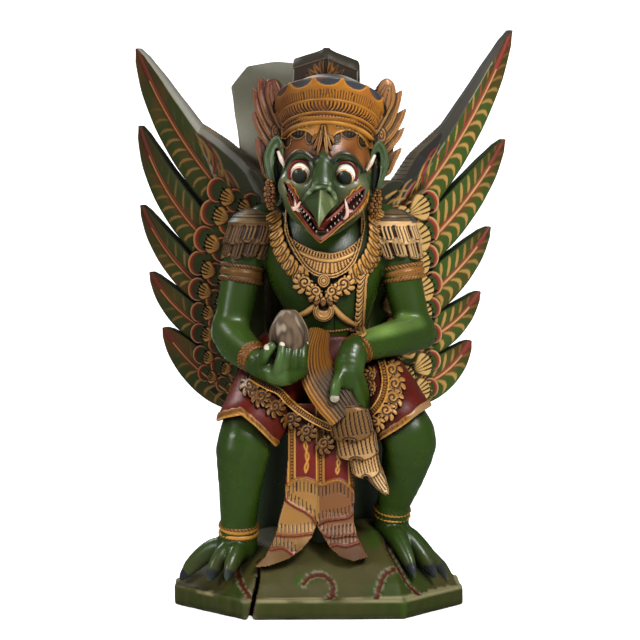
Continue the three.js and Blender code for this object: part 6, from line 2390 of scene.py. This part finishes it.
def studio():
    bpy.context.scene.view_settings.view_transform = "Standard"
    camera = bpy.data.objects.new("camera", bpy.data.cameras.new("camera"))
    bpy.context.scene.collection.objects.link(camera)
    camera.data.lens, camera.data.sensor_width = CAMERA_LENS, CAMERA_SENSOR
    camera.location = CAMERA_PLACE
    camera.rotation_euler = (Vector(CAMERA_AIM) - camera.location).to_track_quat("-Z", "Y").to_euler()
    bpy.context.scene.camera = camera
    for light in LIGHTS:
        area_light(*light)
    world = bpy.data.worlds.new("studio")
    world.use_nodes = True
    world.node_tree.nodes["Background"].inputs[0].default_value = (1, 1, 1, 1)
    world.node_tree.nodes["Background"].inputs[1].default_value = 0.14
    bpy.context.scene.world = world
    # The floor sweeps up behind the figure as a backdrop.
    bend = np.linspace(0.2, 1.57, 10)
    depth = [-6, 3, *(3 + 1.5 * np.sin(bend)), 4.5]
    rise = [0, 0, *(1.5 - 1.5 * np.cos(bend)), 7]
    rings = [[(x, y, z) for x in (-8, 8)] for y, z in zip(depth, rise)]
    points, faces = lofted(rings, closed=False)
    mesh = bpy.data.meshes.new("floor")
    mesh.from_pydata(points.tolist(), [], faces.tolist())
    mesh.shade_smooth()
    floor = bpy.data.objects.new("floor", mesh)
    bpy.context.scene.collection.objects.link(floor)
    material = bpy.data.materials.new("floor")
    material.use_nodes = True
    shader = material.node_tree.nodes["Principled BSDF"]
    shader.inputs["Base Color"].default_value = (0.9, 0.9, 0.9, 1)
    shader.inputs["Roughness"].default_value = 0.35
    shader.inputs["Emission Color"].default_value = (1, 1, 1, 1)
    shader.inputs["Emission Strength"].default_value = 0.85
    mesh.materials.append(material)
    floor.visible_glossy = False


PAINTS = {
    "skin": painted("green_paint", rough=0.3, wear=0.25, dirt_and_shade=0.75, grain=0.5, worn="7f9468", gloss=0.32),
    "cloth": painted("red_cloth_paint", rough=0.42, wear=0.3, dirt_and_shade=0.8, grain=0.7, worn="8a5a46", gloss=0.15),
    "gold": painted("gold_paint", rough=0.38, wear=0.3, dirt_and_shade=1.0, grain=0.6, worn="c89c5c", gloss=0.3,
                    metal=0.15),
    "glaze": painted("eye_paint", rough=0.22, wear=0.0, dirt_and_shade=0.5, grain=0.1, coat=0.4),
    "rock": painted("rock_paint", rough=0.5, wear=0.4, dirt_and_shade=0.8, grain=1.0, worn="7c7756", gloss=0.1),
    "wood": painted("old_wood", rough=0.6, wear=0.4, dirt_and_shade=0.8, grain=1.0, worn="b5a690", gloss=0.1),
    "wing": painted("wing_paint", rough=0.45, wear=0.5, dirt_and_shade=0.8, grain=1.0, worn="80705a", gloss=0.07),
    "tail": painted("tail_paint", rough=0.6, wear=0.4, dirt_and_shade=0.6, grain=1.0, worn="8b8f80", gloss=0.07),
}

studio()
plinth()
body_clay = limbs()
feet()
hands()
jar()
skirt_clay = skirt()
head()
forehead()
eyes()
ears()
mouth()
diadem()
dome()
ear_wings()
crest()
collar(body_clay)
bands()
shoulder_pieces()
belts(skirt_clay)
hems()
sash()
loincloth()
tail()
wing(RIGHT, "left_wing")
wing(LEFT, "right_wing")
